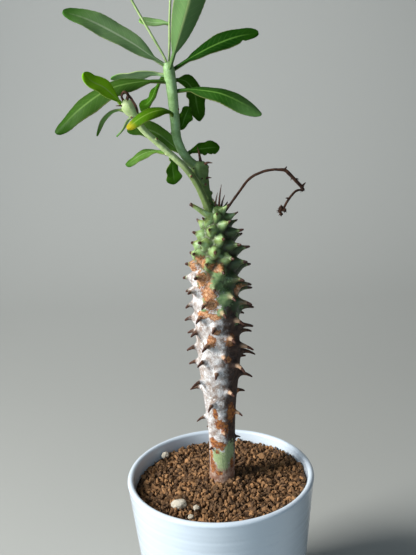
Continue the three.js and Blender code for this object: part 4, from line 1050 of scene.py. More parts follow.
def drill_drain_holes(pot):
    """Cut the ring of drain holes through the floor."""
    cutters = []
    angles = np.linspace(0, 2 * math.pi, DRAIN_HOLE_SIDES, endpoint=False) + DRAIN_HOLE_TURN
    for i in range(DRAIN_HOLES):
        turn = 2 * math.pi * i / DRAIN_HOLES
        x = DRAIN_RING_RADIUS * math.cos(turn) + DRAIN_HOLE_RADIUS * np.cos(angles)
        y = DRAIN_RING_RADIUS * math.sin(turn) + DRAIN_HOLE_RADIUS * np.sin(angles)
        rings = [np.stack([x, y, np.full(DRAIN_HOLE_SIDES, z)], 1) for z in (-3.0, 8.0)]
        cutters.append(skin(np.array(rings)))
    points, faces = joined(cutters)
    mesh = bpy.data.meshes.new("drain cutters")
    mesh.from_pydata((points * MM).tolist(), [], faces)
    cutter = bpy.data.objects.new("drain cutters", mesh)
    bpy.context.scene.collection.objects.link(cutter)
    drill = pot.modifiers.new("drain holes", "BOOLEAN")
    drill.operation = "DIFFERENCE"
    drill.object = cutter
    drill.solver = "EXACT"
    graph = bpy.context.evaluated_depsgraph_get()
    drilled = bpy.data.meshes.new_from_object(pot.evaluated_get(graph))
    pot.modifiers.clear()
    pot.data = drilled
    bpy.data.objects.remove(cutter)


# Soil


def soil_height(x, y):
    mound = MOUND_HEIGHT * np.exp(-(x * x + y * y) / MOUND_RADIUS ** 2)
    return SOIL_LEVEL + SOIL_TILT * x + mound


def rock_shape(random, roughness):
    """One crumb of unit size: a ball with knocked-off sides."""
    points, faces = unit_ball(2)
    for _ in range(9):
        cut = normalized(random.normal(size=3))
        limit = random.uniform(0.38, 0.72)
        points = points - np.maximum(points @ cut - limit, 0)[:, None] * cut
    points = points * (1 + roughness * random.uniform(-1, 1, len(points)))[:, None]
    points = points * (1.0, random.uniform(0.5, 0.9), random.uniform(0.45, 0.85))
    return points / np.abs(points).max() * 0.5, faces


def unit_ball(rounds):
    """Points and faces of a ball made by splitting an icosahedron."""
    golden = (1 + 5 ** 0.5) / 2
    corners = [(s, t * golden, 0) for s in (-1, 1) for t in (-1, 1)]
    corners += [(0, s, t * golden) for s in (-1, 1) for t in (-1, 1)]
    corners += [(t * golden, 0, s) for s in (-1, 1) for t in (-1, 1)]
    points = normalized(np.array(corners, float))
    close = [
        (a, b, c)
        for a in range(12) for b in range(a + 1, 12) for c in range(b + 1, 12)
        if max(np.linalg.norm(points[a] - points[b]), np.linalg.norm(points[b] - points[c]),
               np.linalg.norm(points[a] - points[c])) < 1.2
    ]
    faces = [
        face if np.dot(np.cross(points[face[1]] - points[face[0]], points[face[2]] - points[face[0]]),
                       points[face[0]]) > 0 else face[::-1]
        for face in close
    ]
    for _ in range(rounds - 1):
        points, faces = split_faces(points, faces)
    return points, [list(face) for face in faces]


def split_faces(points, faces):
    points = list(points)
    middles = {}

    def middle(a, b):
        key = (min(a, b), max(a, b))
        if key not in middles:
            middles[key] = len(points)
            points.append(normalized((points[a] + points[b]) / 2))
        return middles[key]

    split = []
    for a, b, c in faces:
        ab, bc, ca = middle(a, b), middle(b, c), middle(c, a)
        split += [(a, ab, ca), (b, bc, ab), (c, ca, bc), (ab, bc, ca)]
    return np.array(points), split


def grain_places(spacing, random, inner, outer):
    """Loose places on a triangle grid, between the stem and the pot."""
    rows = int(POT_RIM_RADIUS / spacing * 2.4)
    grid = [
        ((column + 0.5 * (row % 2)) * spacing, row * spacing * 0.866)
        for row in range(-rows // 2, rows // 2) for column in range(-rows // 2, rows // 2)
    ]
    places = np.array(grid) + random.uniform(-0.42, 0.42, (len(grid), 2)) * spacing
    reach = np.hypot(places[:, 0], places[:, 1])
    return places[(reach < outer) & (np.hypot(places[:, 0] - 0.7, places[:, 1]) > inner)]


def grain_layer(random, rocks, size, layer, wall):
    """Grains spread over the bed: their points, faces and the tone of each point."""
    spacing, level, inner, gap = layer
    places = grain_places(size * spacing, random, inner, wall - gap)
    points, tones, faces = [], [], []
    total = 0
    for x, y in places:
        shape, rock_faces = rocks[random.integers(len(rocks))]
        turn = np.array(Euler(random.uniform(0, 6.28, 3)).to_matrix())
        scale = min(size * random.lognormal(0, 0.26), size * 1.5)
        grain = shape * scale * random.uniform(0.85, 1.15, 3) @ turn.T
        height = soil_height(x, y) + level + random.uniform(-0.5, 0.35)
        points.append(grain + (x, y, height))
        tones.append(np.full(len(shape), random.beta(1.6, 2.4)))
        faces.extend([[index + total for index in face] for face in rock_faces])
        total += len(shape)
    return np.vstack(points), faces, np.concatenate(tones)


def bed_surface(inner_radius, sides=96, rows=34):
    """The bed under the loose grains, dark with painted shade, closed down to the floor of the pot."""
    angles = np.linspace(0, 2 * math.pi, sides, endpoint=False)
    rings = []
    for radius in np.linspace(0.4, inner_radius, rows):
        x, y = radius * np.cos(angles), radius * np.sin(angles)
        rings.append(np.stack([x, y, soil_height(x, y) - BED_DEPTH], 1))
    low = POT_LOW.z / MM + 4.3
    foot_radius = inner_radius - 7.2
    for share in np.linspace(0, 1, 6):
        radius = inner_radius + (foot_radius - inner_radius) * share
        height = SOIL_LEVEL - 2.5 + (low - SOIL_LEVEL + 2.5) * share
        rings.append(np.stack([radius * np.cos(angles), radius * np.sin(angles), np.full(sides, height)], 1))
    return skin(np.array(rings)[::-1])


def build_soil(settings):
    random = np.random.default_rng(settings.seed)
    rocks = [rock_shape(random, 0.06) for _ in range(24)]
    size = settings.grain / MM
    inner_wall = pot_radius(SOIL_LEVEL, POT_FOOT_RADIUS) - POT_WALL
    material = grit_material(settings)
    bed, bed_faces = bed_surface(inner_wall - BED_GAP)
    lower, lower_faces, lower_tones = grain_layer(random, rocks, size, LOWER_GRAINS, inner_wall)
    points, faces = joined([(bed, bed_faces), (lower, lower_faces)])
    # Painted shade between the grains: the bed takes the darkest grit and the lower grains are darkened.
    tones = np.concatenate([np.zeros(len(bed)), lower_tones * 0.7])
    add_piece("soil_bed", points, faces, [material], ["soil"], {"tone": tones}, smooth=False)
    upper, upper_faces, upper_tones = grain_layer(random, rocks, size, UPPER_GRAINS, inner_wall)
    add_piece(
        "soil_grains", upper, upper_faces, [material], (), {"tone": upper_tones}, smooth=False)
    build_pumice(settings, random)


def build_pumice(settings, random):
    material = pumice_material(settings)
    for number, (x, y, sizes, turn) in enumerate(PUMICE_STONES, 1):
        shape, faces = unit_ball(6)
        knocks = [(normalized(random.normal(size=3)), random.uniform(0.72, 0.95)) for _ in range(9)]
        for cut, limit in knocks:
            shape = shape - np.maximum(shape @ cut - limit, 0)[:, None] * cut * 0.8
        dents = 0.1 * rough_noise(shape, 0.5, number) + 0.035 * rough_noise(shape, 0.14, number + 7)
        shape = shape * (1 + dents)[:, None]
        shape = shape / np.abs(shape).max(0) * sizes
        turned = shape @ np.array(Euler((0, 0, math.radians(turn))).to_matrix()).T
        height = soil_height(x, y) + sizes[2] * (1 - 2 * PUMICE_SUNK) + 0.6
        name = f"pumice_{number}"
        add_piece(f"{name}_stone", turned + (x, y, height), faces, [material], [name])


# Stem

# From one point of the skin to the next.
STEM_SPACING = 0.5
# Under the soil the skin is coarser.
BURIED_HEIGHT = 77
BURIED_SPACING = 2.2
# The radius at which the skin is laid flat, to be joined into triangles.
STEM_FLAT_RADIUS = 8.0
# Points in each ring round a tubercle's axis, from the axis out.
TUBERCLE_SIDES = (8, 10, 12, 12, 14, 16, 16, 18, 20, 22, 24)
# Patches on the skin: angle in degrees (-90 is the front), height, half width and half height.
RUST_PATCHES = [
    (-131, 193, 2.6, 3.0), (-160, 190, 2.4, 3.0), (-88, 191, 3.4, 2.2), (-124, 185, 4.6, 4.4),
    (-108, 179, 4.2, 3.6), (-103, 174, 3.6, 3.4), (-122, 169, 4.4, 1.8), (-95, 168, 3.0, 1.6),
    (-107, 156.5, 2.0, 3.2), (-92, 161, 2.0, 1.6), (-58, 156, 2.8, 3.4), (-66, 147, 1.6, 2.0),
    (-112, 119, 1.4, 3.6), (-98, 113.5, 2.6, 3.0), (-50, 119, 2.6, 5.5), (-78, 111, 2.2, 3.4),
    (-134, 103.5, 2.8, 2.6), (-106, 102.4, 3.6, 2.0), (-152, 95, 1.6, 6.0), (-136, 90, 1.6, 3.6),
    (-108, 87.5, 2.2, 1.3), (-114, 98.6, 1.2, 1.2), (-90, 100.5, 1.0, 1.2), (-44, 92, 1.2, 4.0),
    (60, 186, 5.0, 4.0), (100, 150, 3.5, 4.0), (20, 125, 3.0, 4.0), (150, 108, 3.0, 5.0),
    (40, 100, 4.0, 3.0), (-20, 178, 3.0, 3.0), (170, 172, 3.6, 4.4),
]
MOSS_PATCHES = [
    (-84, 185, 5.0, 4.4), (-66, 176, 4.6, 4.4), (-80, 170, 2.6, 2.6), (-136, 183, 1.8, 1.4),
    (-118, 176.5, 1.6, 1.3), (-124, 171, 1.8, 1.4), (-112, 96.5, 3.3, 4.0), (-88, 94.0, 3.8, 5.4),
    (-56, 98, 3.4, 6.5), (10, 172, 5.0, 4.0), (80, 96, 4.0, 5.0), (-30, 165, 3.0, 3.0),
]
# What is painted on the dry spikes and on the green finger.
SPIKE_PAINT = {"spike": 1, "cork": 0, "old": 1, "rust": 0, "moss": 0, "dusk": 0, "crease": 0, "scorch": 1}
FINGER_PAINT = {**SPIKE_PAINT, "old": 0, "scorch": 0}


def stem_profile():
    """Height, lean, radius and run along the skin of the bare stem, evenly spaced from root to apex."""
    stations = [(radius, lean, height) for height, lean, radius in STEM_STATIONS]
    spots, _ = smooth_line(stations, 700)
    radii, leans, heights = spots.T
    run = np.append(0, np.cumsum(np.hypot(np.diff(radii), np.diff(heights))))
    return heights, leans, np.maximum(radii, 0.2), run


def tubercle_table(settings, profile):
    """Every tubercle's angle, run along the skin, sizes and bends, as a list for each."""
    random = np.random.default_rng(settings.seed)
    total = int(sum(TUBERCLE_COUNTS))
    numbers = np.arange(total) + 0.5
    heights = np.interp(numbers, np.append(0, np.cumsum(TUBERCLE_COUNTS)), TUBERCLE_HEIGHTS)
    stages = np.array(TUBERCLE_STAGES, float)
    width, height, length, rise, bend, young = (
        np.interp(heights, stages[:, 0], stages[:, i]) for i in range(1, 7))
    angle = np.radians(settings.phase + settings.angle * numbers)
    growth = np.interp(heights, *np.array(RIGHT_GROWTH).T)
    length = length * (1 + growth * np.cos(angle + 0.2)) * random.uniform(0.86, 1.16, total)
    # Hooks that point to the front right are pale, partly their own colour and partly painted highlight; the
    # rest are dark, partly their own scorched brown and partly painted shade.
    from_front_right = (np.degrees(angle) + 60 + 180) % 360 - 180
    scorch = 1.1 - 1.1 * np.exp(-(from_front_right / 38) ** 2) + random.uniform(-0.2, 0.2, total)
    return {
        "angle": angle, "run": np.interp(heights, profile[0], profile[3]),
        "width": width * random.uniform(0.92, 1.08, total), "height": height, "length": length,
        "rise": rise * random.uniform(0.6, 1.4, total), "bend": bend * random.uniform(0.7, 1.4, total),
        "young": young, "drift": random.uniform(-0.9, 0.9, total), "scorch": np.clip(scorch, 0, 1),
    }


def foot_distance(angles, runs, radii, rows):
    """How far points of the skin lie from each tubercle's axis, in half sizes of its foot."""
    turn = (angles[:, None] - rows["angle"] + math.pi) % (2 * math.pi) - math.pi
    across = np.abs(turn) * radii[:, None] / rows["width"]
    drop = runs[:, None] - rows["run"]
    tall = rows["height"] * np.where(drop < 0, FOOT_BELOW, FOOT_ABOVE)
    power = 2 - 0.5 * rows["young"]
    return (across ** power + (np.abs(drop) / tall) ** power) ** (1 / power)


def skin_spots(profile, rows, random):
    """Places on the stem's skin, close together on the tubercles and even between them."""
    heights, _, radii, run = profile
    angles, runs = [], []
    at = 0.0
    while at < run[-1] - 0.3:
        spacing = STEM_SPACING if np.interp(at, run, heights) > BURIED_HEIGHT else BURIED_SPACING
        count = max(10, int(2 * math.pi * np.interp(at, run, radii) / spacing))
        start = random.uniform(0, 2 * math.pi)
        angles.append(start + np.linspace(0, 2 * math.pi, count, endpoint=False))
        runs.append(np.full(count, at) + random.uniform(-0.1, 0.1, count) * spacing * (at > 0))
        at += spacing * 0.87
    angles.append(np.linspace(0, 2 * math.pi, 10, endpoint=False))
    runs.append(np.full(10, run[-1]))
    angles, runs = np.concatenate(angles), np.concatenate(runs)
    nearest = foot_distance(angles, runs, np.interp(runs, run, radii), rows).min(1)
    sets = [(angles[nearest > 1.2], runs[nearest > 1.2])]
    shares = [row[0] for row in TUBERCLE_FORM]
    for i in range(len(rows["angle"])):
        sets.append(tubercle_spots(i, shares[1:-1], profile, rows, random))
    return (np.concatenate(column) for column in zip(*sets))


def tubercle_spots(i, shares, profile, rows, random):
    """Places in rings round one tubercle's axis, as far as its own part of the skin reaches."""
    _, _, radii, run = profile
    radius = np.interp(rows["run"][i], run, radii)
    power = 2 / (2 - 0.5 * rows["young"][i])
    angles, runs = [rows["angle"][i]], [rows["run"][i]]
    for share, sides in zip(shares, TUBERCLE_SIDES):
        around = np.linspace(0, 2 * math.pi, sides, endpoint=False) + random.uniform(0, 6.28)
        flat = np.sign(np.cos(around)) * np.abs(np.cos(around)) ** power
        tall = np.sign(np.sin(around)) * np.abs(np.sin(around)) ** power
        tall = tall * np.where(tall < 0, FOOT_BELOW, FOOT_ABOVE)
        angles.extend(rows["angle"][i] + share * flat * rows["width"][i] / radius)
        runs.extend(rows["run"][i] + share * tall * rows["height"][i])
    angles, runs = np.array(angles), np.array(runs)
    distance = foot_distance(angles, runs, np.interp(runs, run, radii), rows)
    inside = (distance.argmin(1) == i) & (runs > 0.2) & (runs < run[-1] - 0.2)
    return angles[inside], runs[inside]


def wrapped_triangles(angles, runs):
    """Triangles over places on a tube, which is cut open, covered, and closed again."""
    width = 2 * math.pi * STEM_FLAT_RADIUS
    flat = (angles % (2 * math.pi)) * STEM_FLAT_RADIUS
    margin = 4.0
    low, high = np.flatnonzero(flat < margin), np.flatnonzero(flat > width - margin)
    across = np.concatenate([flat, flat[low] + width, flat[high] - width])
    source = np.concatenate([np.arange(len(flat)), low, high])
    places = [Vector((a, r)) for a, r in zip(across, runs[source])]
    spots, _, triangles, origins, _, _ = delaunay_2d_cdt(places, [], [], 0, 1e-7)
    middles = np.array([sum(spots[i].x for i in triangle) / 3 for triangle in triangles])
    to_source = [source[origin[0]] for origin in origins]
    kept = np.flatnonzero((middles >= 0) & (middles < width))
    faces = [[int(to_source[i]) for i in triangles[k]] for k in kept]
    return [face for face in faces if len(set(face)) == 3]


def end_faces(angles, runs):
    """One face over the root's end and one over the apex."""
    rims = [np.flatnonzero(runs == end) for end in (runs.min(), runs.max())]
    root, apex = (rim[np.argsort(angles[rim] % (2 * math.pi))].tolist() for rim in rims)
    return [root[::-1], apex]


def painted(angles, heights, radii, patches):
    """How strongly each place lies inside one of the patches, from 0 to 1."""
    strength = np.zeros(len(angles))
    for angle, height, half_width, half_height in patches:
        turn = (angles - math.radians(angle) + math.pi) % (2 * math.pi) - math.pi
        reach = np.hypot(turn * radii / half_width, (heights - height) / half_height)
        strength = np.maximum(strength, np.clip(1.4 - reach, 0, 0.85))
    return strength


def skin_reach(distance, rows):
    """How far out the skin stands, and how deep in a crease it lies, both from 0 to 1."""
    form = np.array(TUBERCLE_FORM)
    nearest, second = np.partition(distance, 1, axis=1)[:, :2].T
    young = rows["young"][distance.argmin(1)]
    pillow, claw = (np.interp(nearest, form[:, 0], form[:, column]) for column in (1, 2))
    out = (1 - young) * claw + young * pillow
    crease = (1 - blend_step(0.0, 0.5, second - nearest)) * blend_step(0.3, 0.8, young)
    return out, crease * blend_step(2.2, 1.3, nearest)


def skin_points(angles, z, lean, radius, out, crease, row):
    """The skin's points, drawn out along the tubercles' axes and sunk in the creases between them."""
    flat = np.zeros(len(angles))
    own = np.stack([np.cos(angles), np.sin(angles), flat], 1)
    axis = np.stack([np.cos(row["angle"]), np.sin(row["angle"]), flat], 1)
    side = np.stack([-axis[:, 1], axis[:, 0], flat], 1)
    turned = blend_step(0.02, 0.4, out)[:, None]
    direction = normalized(own * (1 - turned) + axis * turned)
    rough = 0.1 * rough_noise(own * 8 + np.stack([flat, flat, z], 1), 1.6) * (1 - out)
    reach = radius + rough - CREASE_DEPTH * crease
    points = np.stack([lean, flat, z], 1) + own * reach[:, None]
    points += direction * (row["length"] * out)[:, None]
    points += side * (row["drift"] * out ** 2)[:, None]
    points[:, 2] += row["rise"] * out + row["bend"] * out ** 2
    return points


def skin_masks(angles, z, radius, out, crease, row):
    """What is painted on the skin's points, each from 0 to 1."""
    right = np.cos(angles + 0.26)
    return {
        "spike": out, "crease": crease, "scorch": row["scorch"],
        "cork": 1 - blend_step(167, 187, z - 15 * np.cos(angles + 2.8)),
        "old": 1 - blend_step(156, 192, z),
        # The side away from the light: dark skin there, and painted shade.
        "dusk": blend_step(0.1, 0.9, right) * blend_step(88, 106, z) * blend_step(216, 206, z),
        "rust": painted(angles, z, radius, RUST_PATCHES), "moss": painted(angles, z, radius, MOSS_PATCHES),
    }


def build_stem(settings):
    random = np.random.default_rng(settings.seed + 40)
    profile = stem_profile()
    rows = tubercle_table(settings, profile)
    angles, runs = skin_spots(profile, rows, random)
    faces = wrapped_triangles(angles, runs) + end_faces(angles, runs)
    z, lean, radius = (np.interp(runs, profile[3], column) for column in profile[:3])
    distance = foot_distance(angles, runs, radius, rows)
    out, crease = skin_reach(distance, rows)
    row = {name: values[distance.argmin(1)] for name, values in rows.items()}
    points = skin_points(angles, z, lean, radius, out, crease, row)
    masks = skin_masks(angles, z, radius, out, crease, row)
    thorns = [thorn(*spike_row) for spike_row in APEX_SPIKES]
    finger = sweep(APEX_FINGER, 14, 30, ridges=3, ridge_depth=0.08)
    points, faces = joined([(points, faces), finger, *thorns])
    for name, values in masks.items():
        paint = [np.full(len(finger[0]), FINGER_PAINT[name])]
        paint += [np.full(len(part[0]), SPIKE_PAINT[name]) for part in thorns]
        masks[name] = np.concatenate([values, *paint])
    # The finger has a value of its own, which rises towards its tip.
    place = slice(len(angles), len(angles) + len(finger[0]))
    masks["spike"][place] = 0.45 + 0.5 * blend_step(-5.0, -8.4, points[place, 0])
    add_piece("stem_skin", points, faces, [stem_material(settings)], ["stem"], masks)


# Shoots and stalks


def scar_bumps(stations, spacing, size, start, steps=60):
    """Low bumps where leaves have fallen, on one spiral along a shoot, and the middle of each."""
    spots, directions = smooth_line(stations, steps)
    length = np.linalg.norm(np.diff(spots[:, :3], axis=0), axis=1).sum()
    count = int(length / spacing)
    bumps, middles = [], []
    ball, faces = unit_ball(3)
    for i in range(1, count):
        place = int(i / count * steps)
        centre, radius = spots[place, :3], spots[place, 3]
        turn = start + i * math.radians(137.5)
        side = normalized(np.cross(directions[place], (0.3, 0.9, 0.2)))
        up = np.cross(directions[place], side)
        outward = side * math.cos(turn) + up * math.sin(turn)
        middle = centre + outward * radius * 0.9
        bumps.append((ball * size + middle, faces))
        middles.append(middle + outward * size * 0.8)
    return bumps, middles


def near_points(points, middles, reach):
    """1 at the given places, falling to 0 within the reach."""
    strength = np.zeros(len(points))
    for middle in middles:
        strength = np.maximum(strength, 1 - np.linalg.norm(points - middle, axis=1) / reach)
    return np.clip(strength, 0, 1)


def build_shoot(name, node, limbs, spikes, curls, scars, material, old_height):
    """One shoot from its limbs and scars, with its dry spikes and curls, and old skin below a height."""
    body, faces = melted([*limbs, *scars[0]], SHOOT_VOXEL, rounds=5)
    body[:] = body + 0.08 * rough_noise(body, 0.9)[:, None] * normalized(body - body.mean(0))
    extra = [thorn(*row) for row in spikes]
    extra += [
        sweep([(*spot, CURL_RADIUS) for spot in line], 8, 40, ridges=3, ridge_depth=0.2, wobble=0.25, seed=3)
        for line in curls
    ]
    count = sum(len(part[0]) for part in extra)
    points, faces = joined([(body, faces), *extra])
    masks = {
        "scar": np.append(near_points(body, scars[1], 1.1), np.zeros(count)),
        "dry": np.append(np.zeros(len(body)), np.ones(count)),
        "aged": blend_step(old_height + OLD_SKIN_FADE, old_height - OLD_SKIN_FADE, points[:, 2]),
    }
    add_piece(name, points, faces, [material], [node], masks)


def build_shoots(settings):
    leafy_skin = shoot_material(settings, "leafy shoot skin", settings.shoot, settings.bloom)
    left_skin = shoot_material(settings, "left shoot skin", settings.left_shoot, settings.left_bloom)
    left = sweep(LEFT_SHOOT, 20, 120, ridges=5, ridge_depth=0.06, wobble=0.04, seed=2)
    build_shoot(
        "shoot_left_skin", "shoot_left", [left], BUD_SPIKES, BUD_CURLS,
        scar_bumps(LEFT_SHOOT, spacing=7.0, size=0.75, start=1.0), left_skin, LEFT_SHOOT_OLD_HEIGHT)
    older = sweep(OLD_SHOOT, 20, 60, ridges=4, ridge_depth=0.08, wobble=0.06, seed=4)
    newer = sweep(NEW_SHOOT, 20, 100, ridges=3, ridge_depth=0.02, wobble=0.03, seed=5)
    bumps, middles = scar_bumps(OLD_SHOOT, spacing=2.4, size=1.05, start=0.4)
    more_bumps, more_middles = scar_bumps(NEW_SHOOT, spacing=9.0, size=0.7, start=2.0)
    build_shoot(
        "shoot_leafy_skin", "shoot_leafy", [older, newer], OLD_SHOOT_SPIKES, [],
        (bumps + more_bumps, middles + more_middles), leafy_skin, LEAFY_SHOOT_OLD_HEIGHT)


def build_dry_stalk(settings):
    random = np.random.default_rng(KNOT_SEED)
    arch = [
        (*spot, OLD_STALK_RADIUS if spot[0] < OLD_STALK_THICK_FROM_X else OLD_STALK_THICK_RADIUS)
        for spot in OLD_STALK_ARCH
    ]
    turned_back = [(*spot, OLD_STALK_RETURN_RADIUS) for spot in OLD_STALK_RETURN]
    arms = [
        sweep(arch, 12, 120, ridges=4, ridge_depth=0.14, wobble=0.12, seed=1),
        sweep(turned_back, 12, 50, ridges=4, ridge_depth=0.16, wobble=0.14, seed=2),
    ]
    ball, faces = unit_ball(4)
    for place, radius in OLD_STALK_KNOTS:
        shape = ball * (1 + 0.35 * rough_noise(ball, 0.5, radius * 9))[:, None]
        arms.append((shape * radius * KNOT_BALL + place, faces))
        for _ in range(KNOT_THORNS):
            out = normalized(random.normal(size=3)) * radius
            arms.append(thorn(place, np.array(place) + out * 1.3, 0.42, sag=0.25, sides=6, steps=6))
    arms += [thorn(*row) for row in OLD_STALK_SPURS]
    points, faces = joined(arms)
    low, high = (np.array(corner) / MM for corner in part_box("old_stalk"))
    # No point lies further than this outside the solid's own box.
    slack = 0.2
    points = np.clip(points, low - slack, high + slack)
    add_piece("old_stalk_dry", points, faces, [dry_material(settings)], ["old_stalk"])


# Leaves


def half_width(leaf, share):
    """Half a blade's width at each share of its length: a slim petiole, then an oval with a round tip."""
    along = np.clip((share - leaf["petiole"]) / (1 - leaf["petiole"]), 0, 1)
    fullness = leaf["fullness"]
    base_power = LEAF_TIP_POWER * fullness / (1 - fullness)
    peak = fullness ** base_power * (1 - fullness) ** LEAF_TIP_POWER
    oval = along ** base_power * (1 - along) ** LEAF_TIP_POWER / peak
    least = np.where(share > 0.5, LEAF_TIP_WIDTH / 2, PETIOLE_WIDTH / 2)
    return np.maximum(leaf["width"] / 2 * oval, least)


def lobed(width, leaf, along, spread):
    """The width across a blade, changed by the lobes, fine teeth and notches of each side."""
    lobes = 1 + leaf["lobe_depth"] * np.sin(
        2 * math.pi * leaf["lobes"] * along + np.where(spread > 0, 0, LOBE_OFFSET))
    fine = 1 + 0.012 * np.sin(2 * math.pi * 21 * along + 2 * np.sign(spread))
    cut = 1.0
    for at, side, depth, length in leaf["notches"]:
        cut = cut - depth * np.exp(-((along - at) / length) ** 2) * (spread * side > 0)
    return width * lobes * fine * cut


def blade_lift(leaf, along, spread, reach, in_blade):
    """How far the fold, the waves and the swellings between the veins lift a blade."""
    soft_reach = np.sqrt(reach ** 2 + 0.36) - 0.6
    slope = math.tan(math.radians(leaf["fold"]))
    swing = np.sin(2 * math.pi * leaf["waves"] * along + spread)
    ripple = 0.16 * np.sin(2 * math.pi * leaf["waves"] * 2.7 * along + 3 * np.sign(spread))
    quilt = 0.05 * np.sin(2 * math.pi * VEINS * (along - VEIN_LEAN * np.abs(spread) ** VEIN_BEND))
    lift = in_blade * (soft_reach * slope + leaf["wave"] * spread ** 2 * (swing + ripple))
    return lift + in_blade * quilt * np.abs(spread) * (1 - np.abs(spread)) * 4


def blade(leaf, thickness, rows=64, columns=17):
    """A leaf as rings across it, its upper side first and then its underside, with its masks."""
    even = np.linspace(0, 1, rows)
    shares = even * (1 - TIP_CROWDING) + np.sin(math.pi / 2 * even) * TIP_CROWDING
    along = shares[:, None]
    centres, tangents = smooth_line(leaf["midrib"], shares)
    face = np.array(leaf["face"], float)
    upward = normalized(face - tangents * (tangents @ face)[:, None])
    turn = np.radians(leaf["twist"] * shares)[:, None]
    upward = upward * np.cos(turn) + np.cross(tangents, upward) * np.sin(turn)
    across = np.cross(tangents, upward)
    in_blade = blend_step(leaf["petiole"] * 0.6, leaf["petiole"] * 1.8, shares)[:, None]
    spread = np.sin(np.linspace(-math.pi / 2, math.pi / 2, columns))
    reach = lobed(np.abs(spread) * half_width(leaf, shares)[:, None], leaf, along, spread)
    lift = blade_lift(leaf, along, spread, reach, in_blade)
    base = centres[:, None] + across[:, None] * (np.sign(spread) * reach)[..., None]
    full = PETIOLE_THICKNESS * (1 - in_blade) + thickness * in_blade
    thick = full * (0.4 + 0.6 * np.sqrt(1 - spread ** 2))
    rib = RIB_DEPTH * (1 - along) * np.exp(-(reach / 0.55) ** 2)
    groove = 0.12 * in_blade * np.exp(-(reach / 0.4) ** 2)
    top = base + upward[:, None] * (lift - (full - thick) / 2 - groove)[..., None]
    under = base + upward[:, None] * (lift - (full + thick) / 2 - rib)[..., None]
    points, faces = skin(np.concatenate([top, under[:, ::-1]], 1))
    ends = [0.0, 0.0]
    masks = {
        "across": np.append(np.tile(np.append(spread, spread[::-1]), rows), ends),
        "along": np.append(np.repeat(shares, 2 * columns), [0.0, 1.0]),
        "upper": np.append(np.tile(np.repeat([1.0, 0.0], columns), rows), ends),
    }
    return points, faces, masks


def build_leaves(settings):
    materials = {tone: leaf_material(tone) for tone in LEAF_TONES if tone != "bract"}
    for node, row in LEAVES.items():
        leaf = {**LEAF_DEFAULTS, **row}
        points, faces, masks = blade(leaf, settings.blade / MM)
        add_piece(f"{node}_blade", points, faces, [materials[leaf["tone"]]], [node], masks)


def build_flower_stalks(settings):
    materials = [stalk_material(settings), leaf_material("bract")]
    for node, line, bracts in (
        ("flower_stalk_front", FRONT_STALK, FRONT_BRACTS), ("flower_stalk_back", BACK_STALK, BACK_BRACTS),
    ):
        stations = [(*spot, FLOWER_STALK_RADIUS) for spot in line]
        stalk = sweep(stations, 14, 90, ridges=5, ridge_depth=0.07, wobble=0.05, seed=6)
        parts = [stalk]
        masks = {label: [np.zeros(len(stalk[0]))] for label in ("across", "along", "upper")}
        for midrib, width in bracts:
            leaf = {**LEAF_DEFAULTS, **BRACT, "midrib": midrib, "width": width}
            points, faces, own = blade(leaf, settings.blade / MM, rows=36, columns=11)
            parts.append((points, faces))
            for label, values in own.items():
                masks[label].append(values)
        points, faces = joined(parts)
        masks = {label: np.concatenate(values) for label, values in masks.items()}
        piece = add_piece(f"{node}_green", points, faces, materials, [node], masks)
        for polygon in piece.data.polygons[len(stalk[1]):]:
            polygon.material_index = 1


# Stage


def build_backdrop(settings):
    """A plain floor that sweeps up into a plain backdrop."""
    sides = np.linspace(-BACKDROP_HALF_WIDTH, BACKDROP_HALF_WIDTH, 3)
    start, bend = BACKDROP_BEND_START, BACKDROP_BEND_RADIUS
    path = [(BACKDROP_FRONT, 0.0), (start, 0.0)]
    path += [
        (start + bend * math.sin(a), bend - bend * math.cos(a)) for a in np.linspace(0.1, math.pi / 2, 14)
    ]
    path.append((start + bend, BACKDROP_HEIGHT))
    points = np.array([(x, y, z) for y, z in path for x in sides])
    faces = []
    for row in range(len(path) - 1):
        for column in range(2):
            a = row * 3 + column
            faces.append([a, a + 1, a + 4, a + 3])
    mesh = bpy.data.meshes.new("backdrop")
    mesh.from_pydata((points * MM).tolist(), [], faces)
    mesh.shade_smooth()
    mesh.materials.append(stage_material(settings))
    backdrop = bpy.data.objects.new("backdrop", mesh)
    bpy.context.scene.collection.objects.link(backdrop)


def add_light(light, place, target, power, colour):
    """Set a light at a place in metres and turn it to its target. The camera doesn't see the light."""
    light.energy = power
    light.color = colour
    lamp = bpy.data.objects.new(light.name, light)
    lamp.location = place
    lamp.rotation_euler = (Vector(target) - Vector(place)).to_track_quat("-Z", "Y").to_euler()
    lamp.visible_camera = False
    bpy.context.scene.collection.objects.link(lamp)


def soft_box(name, width, height, spread=180):
    """A large flat light, whose grid keeps it within the given spread in degrees."""
    light = bpy.data.lights.new(name, "AREA")
    light.shape = "RECTANGLE"
    light.size, light.size_y = width, height
    light.spread = math.radians(spread)
    return light


def wide_spot(name, angle, radius):
    """A cone of light with a soft edge. Its angle is in degrees, and its radius in metres."""
    light = bpy.data.lights.new(name, "SPOT")
    light.spot_size = math.radians(angle)
    light.spot_blend = 1.0
    light.shadow_soft_size = radius
    return light


def add_camera():
    """The photograph's own camera, as it was fitted to it."""
    camera = bpy.data.cameras.new("camera")
    camera.sensor_fit = "VERTICAL"
    camera.sensor_width = SENSOR_SIZE
    camera.sensor_height = SENSOR_SIZE
    camera.lens = CAMERA_FOCAL_PIXELS * SENSOR_SIZE / IMAGE_HEIGHT
    holder = bpy.data.objects.new("camera", camera)
    holder.location = Vector(CAMERA_PLACE) * MM
    pitch, yaw, roll = (math.radians(a) for a in (CAMERA_PITCH, CAMERA_YAW, CAMERA_ROLL))
    look = Euler((math.pi / 2 - pitch, 0, -yaw)).to_matrix() @ Euler((0, 0, -roll)).to_matrix()
    holder.rotation_euler = look.to_euler()
    bpy.context.scene.collection.objects.link(holder)
    bpy.context.scene.camera = holder


